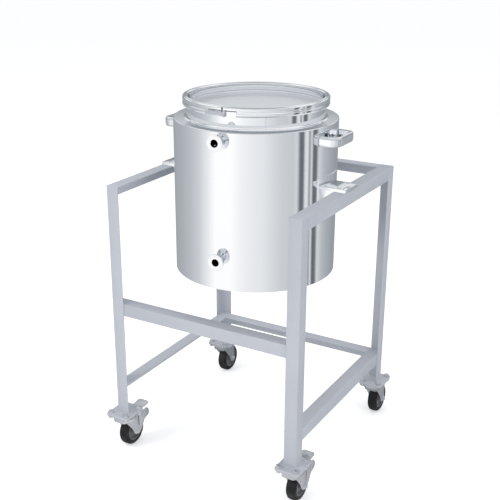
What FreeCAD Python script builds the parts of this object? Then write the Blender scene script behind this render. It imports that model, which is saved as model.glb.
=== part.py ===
import FreeCAD, Part
import math
import os
import Sketcher

# Jacketed vessel seated in a wheeled stand of welded angle bar.
# Millimetres, +Z up. The origin lies on the floor, under the middle of the whole object.

os.makedirs("parts", exist_ok=True)
document = FreeCAD.newDocument("JacketedVessel")

# Driving dimensions

SIZES = [
    # Stand
    ("side_gap", 35),
    ("frame_depth", 650),
    ("frame_height", 900),
    ("angle_width", 40),
    ("angle_wall", 3),
    ("angle_root", 4),
    ("angle_toe", 2),
    ("lower_rail_rise", 109),
    ("front_rail_rise", 387),
    ("seat_hole_inset", 29),
    ("seat_hole_spacing", 60),
    ("seat_hole_diameter", 11),
    ("plate_width", 80),
    ("plate_depth", 94),
    ("plate_inset", 15),
    ("plate_corner", 6),
    ("plate_hole_span_x", 58),
    ("plate_hole_span_y", 72),
    ("plate_hole_diameter", 9),
    ("foot_plate_wall", 6),
    # Casters
    ("caster_height", 130),
    ("caster_plate_wall", 3),
    ("caster_trail", 30),
    ("race_diameter", 56),
    ("race_drop", 8),
    ("race_edge", 4),
    ("swivel_gap", 0.3),
    ("king_pin_diameter", 12),
    ("king_pin_head_diameter", 20),
    ("king_pin_head_height", 4),
    ("turning_clearance", 0.05),
    ("fork_wall", 3),
    ("fork_opening", 41),
    ("fork_nose", 34),
    ("fork_skirt_diameter", 72),
    ("fork_skirt_drop", 12),
    ("fork_edge", 4),
    ("axle_eye_radius", 11),
    ("wheel_diameter", 100),
    ("wheel_width", 32),
    ("tyre_corner", 6),
    ("hub_diameter", 68),
    ("hub_rim_wall", 4),
    ("hub_web_wall", 8),
    ("hub_boss_diameter", 24),
    ("hub_boss_length", 40.4),
    ("axle_diameter", 10),
    ("axle_head_diameter", 17),
    ("axle_head_height", 5),
    # Caster brakes
    ("brake_side_wall", 2.5),
    ("brake_side_front", 44),
    ("brake_side_rear", 92),
    ("brake_side_top", 113),
    ("brake_web_height", 9),
    ("brake_eye_radius", 9),
    ("brake_pin_back", 65),
    ("brake_pin_height", 104),
    ("brake_pin_diameter", 6),
    ("shoe_width", 30),
    ("shoe_gap", 5.8),
    ("pedal_width", 37),
    ("pedal_length", 30),
    ("pedal_wall", 3),
    # Vessel
    ("seat_height", 289),
    ("jacket_diameter", 500),
    ("jacket_height", 475),
    ("jacket_wall", 2),
    ("shoulder_wall", 3),
    ("jacket_space", 38),
    ("vessel_wall", 2),
    ("vessel_floor", 40),
    ("floor_corner", 20),
    ("rim_rise", 42),
    ("rim_wall", 3),
    ("rim_width", 5.7),
    ("gasket_wall", 3),
    ("lid_wall", 2),
    ("lid_panel_sink", 16),
    ("lid_crest_rise", 24),
    ("lid_plug_gap", 3),
    ("lid_crest_width", 12.5),
    ("band_wall", 1.5),
    ("band_fit", 0.3),
    ("band_corner", 5),
    ("band_groove_rise", 9.5),
    ("band_groove_depth", 1.2),
    ("band_groove_half_width", 2),
    ("band_gap_angle", 1.4),
    ("latch_angle", -84),
    ("latch_lever_angle", 16),
    ("latch_lever_wall", 3),
    ("latch_lever_height", 10),
    ("latch_lever_drop", 3),
    ("latch_gap", 0.5),
    ("latch_pin_diameter", 4),
    ("latch_eye_diameter", 9),
    ("latch_plate_angle", 9),
    ("latch_ear_wall", 2),
    # Nozzles
    ("nozzle_angle", -85),
    ("nozzle_reach", 30),
    ("nozzle_bore", 23),
    ("nozzle_pipe_diameter", 26),
    ("ferrule_diameter", 50.5),
    ("ferrule_edge", 2.8),
    ("ferrule_taper", 3.4),
    ("nozzle_upper_drop", 27),
    ("nozzle_lower_height", 95),
    # Handles
    ("handle_drop", 38),
    ("handle_strip_height", 29),
    ("handle_strip_wall", 9),
    ("handle_reach", 53),
    ("handle_half_span", 64),
    ("handle_corner", 32),
    ("handle_edge", 3.5),
    # Brackets
    ("bracket_pad_half_angle", 14),
    ("bracket_pad_wall", 3),
    ("bracket_pad_above", 27),
    ("bracket_pad_below", 45),
    ("shelf_wall", 10),
    ("shelf_width", 84),
    ("shelf_corner", 6),
    ("shelf_end_inset", 1),
    ("gusset_wall", 5),
    ("gusset_spacing", 68),
    ("gusset_drop", 43),
    ("gusset_toe", 4),
    ("gusset_rail_gap", 3),
]

sheet = document.addObject("Spreadsheet::Sheet", "Sizes")
for row, (alias, size) in enumerate(SIZES, start=1):
    sheet.set(f"A{row}", alias)
    sheet.set(f"B{row}", str(size))
    sheet.setAlias(f"B{row}", alias)
document.recompute()

# Places worked out from the driving dimensions, as expressions that every sub-part shares

JACKET_R = "(Sizes.jacket_diameter / 2)"
OUTER_X = f"({JACKET_R} + Sizes.side_gap + Sizes.angle_width)"
OUTER_Y = "(Sizes.frame_depth / 2)"
PLATE_X = f"({OUTER_X} - Sizes.plate_inset)"
PLATE_Y = f"({OUTER_Y} - Sizes.plate_inset)"
WHEEL_R = "(Sizes.wheel_diameter / 2)"
STAND_Y = f"(-(Sizes.caster_trail + {WHEEL_R} - Sizes.plate_depth / 2) / 2)"
WALL = "Sizes.angle_wall"
ANGLE = "Sizes.angle_width"
LEG_FOOT = "(Sizes.caster_height + Sizes.foot_plate_wall)"
LEG_TOP = "(Sizes.frame_height - Sizes.angle_wall)"
LEG_LENGTH = f"({LEG_TOP} - {LEG_FOOT})"
VESSEL_Z = "(Sizes.frame_height - Sizes.seat_height)"
NECK_R = f"({JACKET_R} - Sizes.jacket_wall - Sizes.jacket_space)"
RIM_R = f"({NECK_R} + Sizes.rim_width)"
RIM_TOP = "(Sizes.jacket_height + Sizes.rim_rise)"
BAND_R = f"({RIM_R} + Sizes.band_fit + Sizes.band_corner)"
LOWER_RAIL_TOP = f"({LEG_FOOT} + Sizes.lower_rail_rise)"
FRONT_RAIL_TOP = f"({LEG_FOOT} + Sizes.front_rail_rise)"
FORK_TOP = ("(Sizes.caster_height - Sizes.caster_plate_wall"
            " - Sizes.race_drop - Sizes.swivel_gap)")
FORK_HALF = "(Sizes.fork_opening / 2 + Sizes.fork_wall)"
NOZZLE_HEIGHTS = ("(Sizes.jacket_height - Sizes.nozzle_upper_drop)",
                  "Sizes.nozzle_lower_height")
RIM_UNDERSIDE = f"({RIM_TOP} - Sizes.rim_wall)"
LID_FOOT = f"({RIM_TOP} + Sizes.gasket_wall)"
LID_PANEL = f"({RIM_TOP} - Sizes.lid_panel_sink)"
LID_CREST = f"({RIM_TOP} + Sizes.lid_crest_rise)"

subparts = []


# Helpers that draw profiles and turn them into solids

def value(expression):
    """The number that an expression over the sheet gives."""
    return float(sheet.evalExpression(expression))


def new_body(label):
    body = document.addObject("PartDesign::Body", label)
    body.Label = label
    subparts.append(body)
    return body


def origin_plane(body, role):
    for feature in body.Origin.OriginFeatures:
        if feature.Role == role:
            return feature
    raise ValueError(role)


def new_sketch(body, role, lift=None, across=None, up=None):
    """A sketch on one of the body's own planes. Lift moves it along the plane's normal,
    across and up along its two axes."""
    sketch = body.newObject("Sketcher::SketchObject", body.Label + "_profile")
    sketch.AttachmentSupport = [(origin_plane(body, role), "")]
    sketch.MapMode = "FlatFace"
    if lift is not None:
        sketch.setExpression("AttachmentOffset.Base.z", lift)
    if across is not None:
        sketch.setExpression("AttachmentOffset.Base.x", across)
    if up is not None:
        sketch.setExpression("AttachmentOffset.Base.y", up)
    return sketch


def bind(sketch, constraint, expression):
    """Adds a dimension to a sketch and ties it to an expression."""
    index = sketch.addConstraint(constraint)
    name = f"size{index}"
    sketch.renameConstraint(index, name)
    sketch.setExpression(f"Constraints.{name}", expression)


def arc_through(start, end, radius, turn):
    """The short arc from start to end; turn is 1 for counter-clockwise and -1 for clockwise."""
    chord = end - start
    half = chord.Length / 2
    away = math.sqrt(max(radius * radius - half * half, 0))
    left = FreeCAD.Vector(-chord.y, chord.x, 0).normalize()
    centre = (start + end) * 0.5 + left * (away * turn)
    first, last = (start, end) if turn > 0 else (end, start)
    angle_first = math.atan2(first.y - centre.y, first.x - centre.x)
    angle_last = math.atan2(last.y - centre.y, last.x - centre.x)
    if angle_last < angle_first:
        angle_last += 2 * math.pi
    circle = Part.Circle(centre, FreeCAD.Vector(0, 0, 1), radius)
    return Part.ArcOfCircle(circle, angle_first, angle_last)


def outline(sketch, corners):
    """Draws a closed outline. A corner is (across, up), or (across, up, radius, turn) where
    the edge that leaves it is an arc."""
    points = [FreeCAD.Vector(value(corner[0]), value(corner[1]), 0) for corner in corners]
    edges = []
    for index, corner in enumerate(corners):
        start = points[index]
        end = points[(index + 1) % len(points)]
        if len(corner) == 2:
            edge = sketch.addGeometry(Part.LineSegment(start, end))
            edges.append((edge, 1, 2))
        else:
            radius, turn = corner[2], corner[3]
            edge = sketch.addGeometry(arc_through(start, end, value(radius), turn))
            edges.append((edge, 1, 2) if turn > 0 else (edge, 2, 1))
    for index, (edge, first, last) in enumerate(edges):
        following, following_first, _ = edges[(index + 1) % len(edges)]
        sketch.addConstraint(
            Sketcher.Constraint("Coincident", edge, last, following, following_first))
    for index, corner in enumerate(corners):
        edge, first, _ = edges[index]
        point = points[index]
        bind(sketch, Sketcher.Constraint("DistanceX", edge, first, point.x), corner[0])
        bind(sketch, Sketcher.Constraint("DistanceY", edge, first, point.y), corner[1])
        if len(corner) > 2:
            radius = Sketcher.Constraint("Radius", edge, value(corner[2]))
            bind(sketch, radius, corner[2])


def rectangle(low_across, low_up, high_across, high_up):
    return [(low_across, low_up), (high_across, low_up),
            (high_across, high_up), (low_across, high_up)]


def rounded_rectangle(low_across, low_up, high_across, high_up, radius):
    """The same with its corners rounded."""
    return [(f"({low_across} + {radius})", low_up),
            (f"({high_across} - {radius})", low_up, radius, 1),
            (high_across, f"({low_up} + {radius})"),
            (high_across, f"({high_up} - {radius})", radius, 1),
            (f"({high_across} - {radius})", high_up),
            (f"({low_across} + {radius})", high_up, radius, 1),
            (low_across, f"({high_up} - {radius})"),
            (low_across, f"({low_up} + {radius})", radius, 1)]


def angle_profile(corner_across, corner_up, way_across, way_up):
    """Hot rolled angle: sharp outer corner, rounded root and rounded toes. The ways are the
    signs of the directions that the two flanges take from the outer corner."""
    toe = "Sizes.angle_toe"
    root = "Sizes.angle_root"
    turn = way_across * way_up

    def at(across, up):
        return (f"({corner_across} + {way_across} * ({across}))",
                f"({corner_up} + {way_up} * ({up}))")

    return [at("0", "0"), at(ANGLE, "0"),
            (*at(ANGLE, f"{WALL} - {toe}"), toe, turn),
            at(f"{ANGLE} - {toe}", WALL),
            (*at(f"{WALL} + {root}", WALL), root, -turn),
            at(WALL, f"{WALL} + {root}"),
            (*at(WALL, f"{ANGLE} - {toe}"), toe, turn),
            at(f"{WALL} - {toe}", ANGLE), at("0", ANGLE)]


def circle(sketch, across, up, diameter):
    centre = FreeCAD.Vector(value(across), value(up), 0)
    shape = Part.Circle(centre, FreeCAD.Vector(0, 0, 1), value(diameter) / 2)
    edge = sketch.addGeometry(shape)
    bind(sketch, Sketcher.Constraint("DistanceX", edge, 3, centre.x), across)
    bind(sketch, Sketcher.Constraint("DistanceY", edge, 3, centre.y), up)
    bind(sketch, Sketcher.Constraint("Diameter", edge, value(diameter)), diameter)


def pad(body, sketch, length, symmetric=False):
    feature = body.newObject("PartDesign::Pad", body.Label + "_pad")
    feature.Profile = sketch
    if symmetric:
        feature.SideType = "Symmetric"
    feature.setExpression("Length", length)
    body.Tip = feature
    return feature


def pocket_both_ways(body, sketch, length):
    """Cuts the outline away to both sides of its plane."""
    feature = body.newObject("PartDesign::Pocket", body.Label + "_pocket")
    feature.Profile = sketch
    feature.SideType = "Symmetric"
    feature.setExpression("Length", length)
    body.Tip = feature
    return feature


def revolve(body, sketch, angle=None, axis="V_Axis"):
    """Turns an outline about the sketch's upright axis, or its other one, a full turn unless
    told."""
    feature = body.newObject("PartDesign::Revolution", body.Label + "_revolution")
    feature.Profile = sketch
    feature.ReferenceAxis = (sketch, [axis])
    if angle is None:
        feature.Angle = 360
    else:
        feature.setExpression("Angle", angle)
    body.Tip = feature
    return feature


def mirror(body, role):
    """Adds the mirror image of all of a body so far, across one of its own planes."""
    feature = body.newObject("PartDesign::Mirrored", body.Label + "_mirrored")
    feature.TransformMode = "Whole shape"
    feature.MirrorPlane = (origin_plane(body, role), [""])
    body.Tip = feature
    return feature


def fillet_where(body, radius, test):
    """Rounds the edges of the solid so far whose middle point passes the test."""
    document.recompute()
    base = body.Tip
    names = []
    for index, edge in enumerate(base.Shape.Edges, start=1):
        middle = edge.valueAt((edge.FirstParameter + edge.LastParameter) / 2)
        if test(edge, middle):
            names.append(f"Edge{index}")
    feature = body.newObject("PartDesign::Fillet", body.Label + "_fillet")
    feature.Base = (base, names)
    feature.setExpression("Radius", radius)
    body.Tip = feature
    return feature


def place(body, across="0", along="0", up="0", turn=None):
    """Moves a body to its place in the object, and turns it about the vertical if asked."""
    body.setExpression("Placement.Base.x", across)
    body.setExpression("Placement.Base.y", along)
    body.setExpression("Placement.Base.z", up)
    if turn is not None:
        body.setExpression("Placement.Rotation.Angle", turn)


# Stand: four legs of angle bar with the corner of the angle outward

def leg(label, side, end):
    """side is 1 on the right and -1 on the left, end is 1 at the back and -1 at the front."""
    body = new_body(label)
    sketch = new_sketch(body, "XY_Plane")
    outline(sketch, angle_profile(f"{side} * {OUTER_X}", f"{end} * {OUTER_Y}", -side, -end))
    pad(body, sketch, LEG_LENGTH)
    place(body, along=STAND_Y, up=LEG_FOOT)


SIDES = (("left", -1), ("right", 1))
ENDS = (("front", -1), ("back", 1))
for end_name, end in ENDS:
    for side_name, side in SIDES:
        leg(f"leg_{end_name}_{side_name}", side, end)


# Top rails: angle bar with one flange flat on top, coped over the legs, open at the front

top_sides = new_body("top_side_rails")
side_flange = new_sketch(top_sides, "XZ_Plane")
rail_top = "Sizes.frame_height"
rail_under = f"({rail_top} - {WALL})"
outline(side_flange, rectangle(f"({OUTER_X} - {ANGLE})", rail_under, OUTER_X, rail_top))
pad(top_sides, side_flange, "Sizes.frame_depth", symmetric=True)
side_upright = new_sketch(top_sides, "XZ_Plane")
outline(side_upright, angle_profile(OUTER_X, rail_top, -1, -1))
pad(top_sides, side_upright, f"(Sizes.frame_depth - 2 * {ANGLE})", symmetric=True)
seat_holes = new_sketch(top_sides, "XY_Plane", lift=rail_top)
for step in (-1, 1):
    circle(seat_holes, f"({OUTER_X} - Sizes.seat_hole_inset)",
           f"({step} * Sizes.seat_hole_spacing / 2)", "Sizes.seat_hole_diameter")
pocket_both_ways(top_sides, seat_holes, f"(3 * {WALL})")
mirror(top_sides, "YZ_Plane")
place(top_sides, along=STAND_Y)

top_back = new_body("top_rail_back")
back_flange = new_sketch(top_back, "YZ_Plane")
outline(back_flange, angle_profile(OUTER_Y, rail_top, -1, -1))
pad(top_back, back_flange, f"(2 * {OUTER_X} - 2 * {ANGLE})", symmetric=True)
place(top_back, along=STAND_Y)


# Lower rails and front rail: angle bar lapped inside the flanges of the legs

def lapped_rail(label, role, outward, reach, top, length):
    """outward is the sign of the side that the upright flange faces, reach the legs' outer
    face on that side."""
    body = new_body(label)
    sketch = new_sketch(body, role)
    outline(sketch, angle_profile(f"{outward} * ({reach} - {WALL})", top, -outward, -1))
    pad(body, sketch, length, symmetric=True)
    place(body, along=STAND_Y)
    return body


# The rails stop short of the rounded roots of the legs' angles
INSIDE_DEPTH = f"(2 * ({OUTER_Y} - {WALL} - Sizes.angle_root))"
INSIDE_WIDTH = f"(2 * ({OUTER_X} - {WALL} - Sizes.angle_root))"
BACK_WIDTH = f"(2 * ({OUTER_X} - {WALL} - {ANGLE}))"
lower_sides = lapped_rail("lower_side_rails", "XZ_Plane", 1, OUTER_X, LOWER_RAIL_TOP,
                          INSIDE_DEPTH)
mirror(lower_sides, "YZ_Plane")
lapped_rail("lower_rail_back", "YZ_Plane", 1, OUTER_Y, LOWER_RAIL_TOP, BACK_WIDTH)
lapped_rail("front_rail", "YZ_Plane", -1, OUTER_Y, FRONT_RAIL_TOP, INSIDE_WIDTH)


# Foot plates welded under the legs, four bolt holes each

def plate_holes(sketch, x_expression, y_expression):
    for x_step in (-1, 1):
        for y_step in (-1, 1):
            circle(sketch, f"({x_expression} + {x_step} * Sizes.plate_hole_span_x / 2)",
                   f"({y_expression} + {y_step} * Sizes.plate_hole_span_y / 2)",
                   "Sizes.plate_hole_diameter")


def plate_outline(sketch, x_expression, y_expression):
    outline(sketch, rounded_rectangle(f"({x_expression} - Sizes.plate_width / 2)",
                                      f"({y_expression} - Sizes.plate_depth / 2)",
                                      f"({x_expression} + Sizes.plate_width / 2)",
                                      f"({y_expression} + Sizes.plate_depth / 2)",
                                      "Sizes.plate_corner"))


foot_plates = new_body("foot_plates")
foot_sketch = new_sketch(foot_plates, "XY_Plane")
plate_outline(foot_sketch, PLATE_X, PLATE_Y)
plate_holes(foot_sketch, PLATE_X, PLATE_Y)
pad(foot_plates, foot_sketch, "Sizes.foot_plate_wall")
mirror(foot_plates, "YZ_Plane")
mirror(foot_plates, "XZ_Plane")
place(foot_plates, along=STAND_Y, up="Sizes.caster_height")


# Caster plates: bolted under the foot plates, each with its upper race and king pin

caster_plates = new_body("caster_plates")
plate_sketch = new_sketch(caster_plates, "XY_Plane")
plate_outline(plate_sketch, PLATE_X, PLATE_Y)
plate_holes(plate_sketch, PLATE_X, PLATE_Y)
pad(caster_plates, plate_sketch, "Sizes.caster_plate_wall")
race = new_sketch(caster_plates, "XZ_Plane", lift=f"(-{PLATE_Y})", across=PLATE_X)
race_r = "(Sizes.race_diameter / 2)"
race_foot = "(-Sizes.race_drop)"
race_edge = "Sizes.race_edge"
pin_r = "(Sizes.king_pin_diameter / 2)"
head_r = "(Sizes.king_pin_head_diameter / 2)"
head_top = "(-Sizes.race_drop - 2 * Sizes.swivel_gap - Sizes.fork_wall)"
head_foot = f"({head_top} - Sizes.king_pin_head_height)"
outline(race, [("0", "0"), ("0", head_foot), (head_r, head_foot), (head_r, head_top),
               (pin_r, head_top), (pin_r, race_foot),
               (f"({race_r} - {race_edge})", race_foot),
               (race_r, f"({race_foot} + {race_edge})"), (race_r, "0")])
revolve(caster_plates, race)
mirror(caster_plates, "YZ_Plane")
mirror(caster_plates, "XZ_Plane")
place(caster_plates, along=STAND_Y, up="(Sizes.caster_height - Sizes.caster_plate_wall)")


# Caster fork: pressed sheet, a skirted crown over two cheeks that taper to the axle

def fork(label, side, end):
    body = new_body(label)
    cheek = new_sketch(body, "YZ_Plane")
    eye = "Sizes.axle_eye_radius"
    rear = f"(Sizes.caster_trail + {eye})"
    slope = f"({eye} * 0.7071)"
    outline(cheek, [
        ("(-Sizes.fork_nose)", FORK_TOP),
        ("(-Sizes.fork_nose)", f"({FORK_TOP} - Sizes.fork_skirt_drop)"),
        (f"(Sizes.caster_trail - {slope})", f"({WHEEL_R} - {slope})", eye, 1),
        (rear, WHEEL_R),
        (rear, FORK_TOP)])
    pad(body, cheek, f"(2 * {FORK_HALF})", symmetric=True)
    inside = new_sketch(body, "YZ_Plane")
    outline(inside, rectangle("(-Sizes.fork_nose - 10)", "0", f"({rear} + 10)",
                              f"({FORK_TOP} - Sizes.fork_wall)"))
    pocket_both_ways(body, inside, "Sizes.fork_opening")
    shoulder_x = value(FORK_HALF)
    shoulder_z = value(FORK_TOP)
    fillet_where(body, "Sizes.fork_edge",
                 lambda edge, middle: abs(abs(middle.x) - shoulder_x) < 0.01
                 and abs(middle.z - shoulder_z) < 0.01)
    crown = new_sketch(body, "XZ_Plane")
    skirt_r = "(Sizes.fork_skirt_diameter / 2)"
    bore_r = "(Sizes.king_pin_diameter / 2 + Sizes.turning_clearance)"
    skirt_foot = f"({FORK_TOP} - Sizes.fork_skirt_drop)"
    outline(crown, [
        (bore_r, FORK_TOP), (bore_r, f"({FORK_TOP} - Sizes.fork_wall)"),
        (f"({skirt_r} - Sizes.fork_wall)", f"({FORK_TOP} - Sizes.fork_wall)"),
        (f"({skirt_r} - Sizes.fork_wall)", skirt_foot), (skirt_r, skirt_foot),
        (skirt_r, f"({FORK_TOP} - Sizes.fork_edge)", "Sizes.fork_edge", 1),
        (f"({skirt_r} - Sizes.fork_edge)", FORK_TOP)])
    revolve(body, crown)
    pin_hole = new_sketch(body, "XY_Plane", lift=FORK_TOP)
    circle(pin_hole, "0", "0", "(Sizes.king_pin_diameter + 2 * Sizes.turning_clearance)")
    pocket_both_ways(body, pin_hole, "(4 * Sizes.fork_wall)")
    axle_hole = new_sketch(body, "YZ_Plane")
    circle(axle_hole, "Sizes.caster_trail", WHEEL_R, "Sizes.axle_diameter")
    pocket_both_ways(body, axle_hole, f"(4 * {FORK_HALF})")
    place(body, across=f"{side} * {PLATE_X}", along=f"({STAND_Y} + {end} * {PLATE_Y})")


# Axle: bolt through both cheeks, head on one side and nut on the other

def wheel_place(body, side, end):
    body.Placement = FreeCAD.Placement(
        FreeCAD.Vector(), FreeCAD.Rotation(FreeCAD.Vector(0, 1, 0), 90))
    place(body, across=f"{side} * {PLATE_X}",
          along=f"({STAND_Y} + {end} * {PLATE_Y} + Sizes.caster_trail)", up=WHEEL_R)


def axle(label, side, end, clamped):
    """clamped is the thickness that the bolt holds beyond the fork's cheeks on each side."""
    body = new_body(label)
    sketch = new_sketch(body, "XZ_Plane")
    shank_r = "(Sizes.axle_diameter / 2)"
    head_r = "(Sizes.axle_head_diameter / 2)"
    grip = f"({FORK_HALF} + {clamped})"
    end_up = f"({grip} + Sizes.axle_head_height)"
    outline(sketch, [("0", f"-{end_up}"), (head_r, f"-{end_up}"), (head_r, f"-{grip}"),
                     (shank_r, f"-{grip}"), (shank_r, grip), (head_r, grip),
                     (head_r, end_up), ("0", end_up)])
    revolve(body, sketch)
    wheel_place(body, side, end)


# Wheel: black tyre with rounded shoulders on a dished grey hub

def tyre(label, side, end):
    body = new_body(label)
    sketch = new_sketch(body, "XZ_Plane")
    hub_r = "(Sizes.hub_diameter / 2)"
    half = "(Sizes.wheel_width / 2)"
    corner = "Sizes.tyre_corner"
    outline(sketch, [(hub_r, f"-{half}"),
                     (f"({WHEEL_R} - {corner})", f"-{half}", corner, 1),
                     (WHEEL_R, f"(-{half} + {corner})"),
                     (WHEEL_R, f"({half} - {corner})", corner, 1),
                     (f"({WHEEL_R} - {corner})", half),
                     (hub_r, half)])
    revolve(body, sketch)
    wheel_place(body, side, end)


def hub(label, side, end):
    body = new_body(label)
    sketch = new_sketch(body, "XZ_Plane")
    bore_r = "(Sizes.axle_diameter / 2 + Sizes.turning_clearance)"
    boss_r = "(Sizes.hub_boss_diameter / 2)"
    boss_half = "(Sizes.hub_boss_length / 2)"
    rim_r = "(Sizes.hub_diameter / 2)"
    rim_in = "(Sizes.hub_diameter / 2 - Sizes.hub_rim_wall)"
    web_half = "(Sizes.hub_web_wall / 2)"
    half = "(Sizes.wheel_width / 2)"
    outline(sketch, [(bore_r, f"-{boss_half}"), (boss_r, f"-{boss_half}"),
                     (boss_r, f"-{web_half}"), (rim_in, f"-{web_half}"),
                     (rim_in, f"-{half}"), (rim_r, f"-{half}"), (rim_r, half),
                     (rim_in, half), (rim_in, web_half), (boss_r, web_half),
                     (boss_r, boss_half), (bore_r, boss_half)])
    revolve(body, sketch)
    wheel_place(body, side, end)


# Brake bracket: two pressed cheeks behind the fork, joined by a web, held by the axle

def brake_bracket(label, side, end):
    body = new_body(label)
    half = f"({FORK_HALF} + Sizes.brake_side_wall)"
    front = "Sizes.brake_side_front"
    rear = "Sizes.brake_side_rear"
    top = "Sizes.brake_side_top"
    trail = "Sizes.caster_trail"
    eye = "Sizes.brake_eye_radius"
    cheek = new_sketch(body, "YZ_Plane")
    outline(cheek, [
        (f"({trail} - {eye} * 0.5)", f"({WHEEL_R} + {eye} * 0.6)"),
        (f"({trail} + {eye} * 0.3)", f"({WHEEL_R} - {eye} * 0.9)"),
        (f"({front} + 8)", f"({WHEEL_R} + 10)"),
        (f"({rear} - 8)", f"({top} - 26)"),
        (rear, f"({top} - 14)"),
        (rear, f"({top} - 8)"),
        (f"({rear} - 8)", top),
        (front, top),
        (front, f"({WHEEL_R} + 16)")])
    pad(body, cheek, f"(2 * {half})", symmetric=True)
    inside = new_sketch(body, "YZ_Plane")
    web = f"({front} + Sizes.brake_side_wall)"
    web_foot = f"({top} - Sizes.brake_web_height)"
    outline(inside, [("0", "0"), (f"({rear} + 10)", "0"), (f"({rear} + 10)", f"({top} + 10)"),
                     (web, f"({top} + 10)"), (web, web_foot), ("0", web_foot)])
    pocket_both_ways(body, inside, f"(2 * {FORK_HALF})")
    holes = new_sketch(body, "YZ_Plane")
    circle(holes, trail, WHEEL_R, "Sizes.axle_diameter")
    circle(holes, "Sizes.brake_pin_back", "Sizes.brake_pin_height",
           "(Sizes.brake_pin_diameter + 2 * Sizes.turning_clearance)")
    pocket_both_ways(body, holes, f"(4 * {half})")
    place(body, across=f"{side} * {PLATE_X}", along=f"({STAND_Y} + {end} * {PLATE_Y})")


# Brake pedal: pad and shoe on one pivot pin, raised clear of the tyre

def brake_pedal(label, side, end):
    body = new_body(label)
    pin_y = "Sizes.brake_pin_back"
    pin_z = "Sizes.brake_pin_height"
    # The shoe's face looks at the wheel's centre from above and behind
    reach = f"({WHEEL_R} + Sizes.shoe_gap)"
    face_front_y = f"(Sizes.caster_trail + {reach} * 0.588)"
    face_front_z = f"({WHEEL_R} + {reach} * 0.809)"
    face_rear_y = f"(Sizes.caster_trail + {reach} * 0.719)"
    face_rear_z = f"({WHEEL_R} + {reach} * 0.695)"
    arm = new_sketch(body, "YZ_Plane")
    outline(arm, [
        (face_front_y, face_front_z),
        (face_rear_y, face_rear_z),
        (f"({pin_y} + 8)", f"({pin_z} - 12)"),
        (f"({pin_y} + 9)", f"({pin_z} + 4)"),
        (f"({pin_y} + 14)", f"({pin_z} + 15)"),
        (f"({pin_y} + 4)", f"({pin_z} + 13)"),
        (f"({pin_y} - 7)", f"({pin_z} + 3)"),
        (f"({pin_y} - 7)", f"({pin_z} - 6)")])
    pad(body, arm, "Sizes.shoe_width", symmetric=True)
    tread = new_sketch(body, "YZ_Plane")
    length = "Sizes.pedal_length"
    wall = "Sizes.pedal_wall"
    outline(tread, [
        (f"({pin_y} + 4)", f"({pin_z} + 13)"),
        (f"({pin_y} + 4 + {length})", f"({pin_z} + 19)"),
        (f"({pin_y} + 4 + {length})", f"({pin_z} + 19 + {wall})"),
        (f"({pin_y} + 3)", f"({pin_z} + 13 + {wall})")])
    pad(body, tread, "Sizes.pedal_width", symmetric=True)
    pin = new_sketch(body, "YZ_Plane")
    circle(pin, pin_y, pin_z, "Sizes.brake_pin_diameter")
    pad(body, pin, f"(2 * ({FORK_HALF} + Sizes.brake_side_wall) + 2)", symmetric=True)
    place(body, across=f"{side} * {PLATE_X}", along=f"({STAND_Y} + {end} * {PLATE_Y})")


for end_name, end in ENDS:
    for side_name, side in SIDES:
        corner = f"{end_name}_{side_name}"
        fork(f"fork_{corner}", side, end)
        if end_name == "front":
            axle(f"axle_{corner}", side, end, "Sizes.brake_side_wall")
            brake_bracket(f"brake_bracket_{corner}", side, end)
            brake_pedal(f"brake_pedal_{corner}", side, end)
        else:
            axle(f"axle_{corner}", side, end, "0")
        tyre(f"tyre_{corner}", side, end)
        hub(f"hub_{corner}", side, end)


# Vessel: inner pot with a flanged rim, inside a jacket of rolled sheet

def place_on_vessel(body, turn=None):
    place(body, along=STAND_Y, up=VESSEL_Z, turn=turn)


inner = new_body("inner_vessel")
inner_sketch = new_sketch(inner, "XZ_Plane")
floor = "Sizes.vessel_floor"
knuckle = "Sizes.floor_corner"
pot_wall = "Sizes.vessel_wall"
outline(inner_sketch, [
    ("0", floor),
    (f"({NECK_R} - {knuckle})", floor, knuckle, 1),
    (NECK_R, f"({floor} + {knuckle})"),
    (NECK_R, RIM_UNDERSIDE),
    (RIM_R, RIM_UNDERSIDE),
    (RIM_R, RIM_TOP),
    (f"({NECK_R} - {pot_wall})", RIM_TOP),
    (f"({NECK_R} - {pot_wall})", f"({floor} + {knuckle})", f"({knuckle} - {pot_wall})", -1),
    (f"({NECK_R} - {knuckle})", f"({floor} + {pot_wall})"),
    ("0", f"({floor} + {pot_wall})")])
revolve(inner, inner_sketch)
place_on_vessel(inner)

shell = new_body("jacket_shell")
shell_sketch = new_sketch(shell, "XZ_Plane")
outline(shell_sketch, rectangle(f"({JACKET_R} - Sizes.jacket_wall)", "0", JACKET_R,
                                "(Sizes.jacket_height - Sizes.shoulder_wall)"))
revolve(shell, shell_sketch)
for height in NOZZLE_HEIGHTS:
    port = new_sketch(shell, "YZ_Plane", lift=JACKET_R)
    circle(port, "0", height, "Sizes.nozzle_pipe_diameter")
    pocket_both_ways(shell, port, JACKET_R)
place_on_vessel(shell, turn="Sizes.nozzle_angle")

shoulder = new_body("jacket_shoulder")
shoulder_sketch = new_sketch(shoulder, "XZ_Plane")
outline(shoulder_sketch, rectangle(NECK_R, "(Sizes.jacket_height - Sizes.shoulder_wall)",
                                   JACKET_R, "Sizes.jacket_height"))
revolve(shoulder, shoulder_sketch)
place_on_vessel(shoulder)

bottom = new_body("jacket_bottom")
bottom_sketch = new_sketch(bottom, "XZ_Plane")
outline(bottom_sketch, rectangle("0", "0", f"({JACKET_R} - Sizes.jacket_wall)",
                                 "Sizes.jacket_wall"))
revolve(bottom, bottom_sketch)
place_on_vessel(bottom)


# Nozzles: pipe stubs with clamp ferrules, the upper one high and the lower one low

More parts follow.
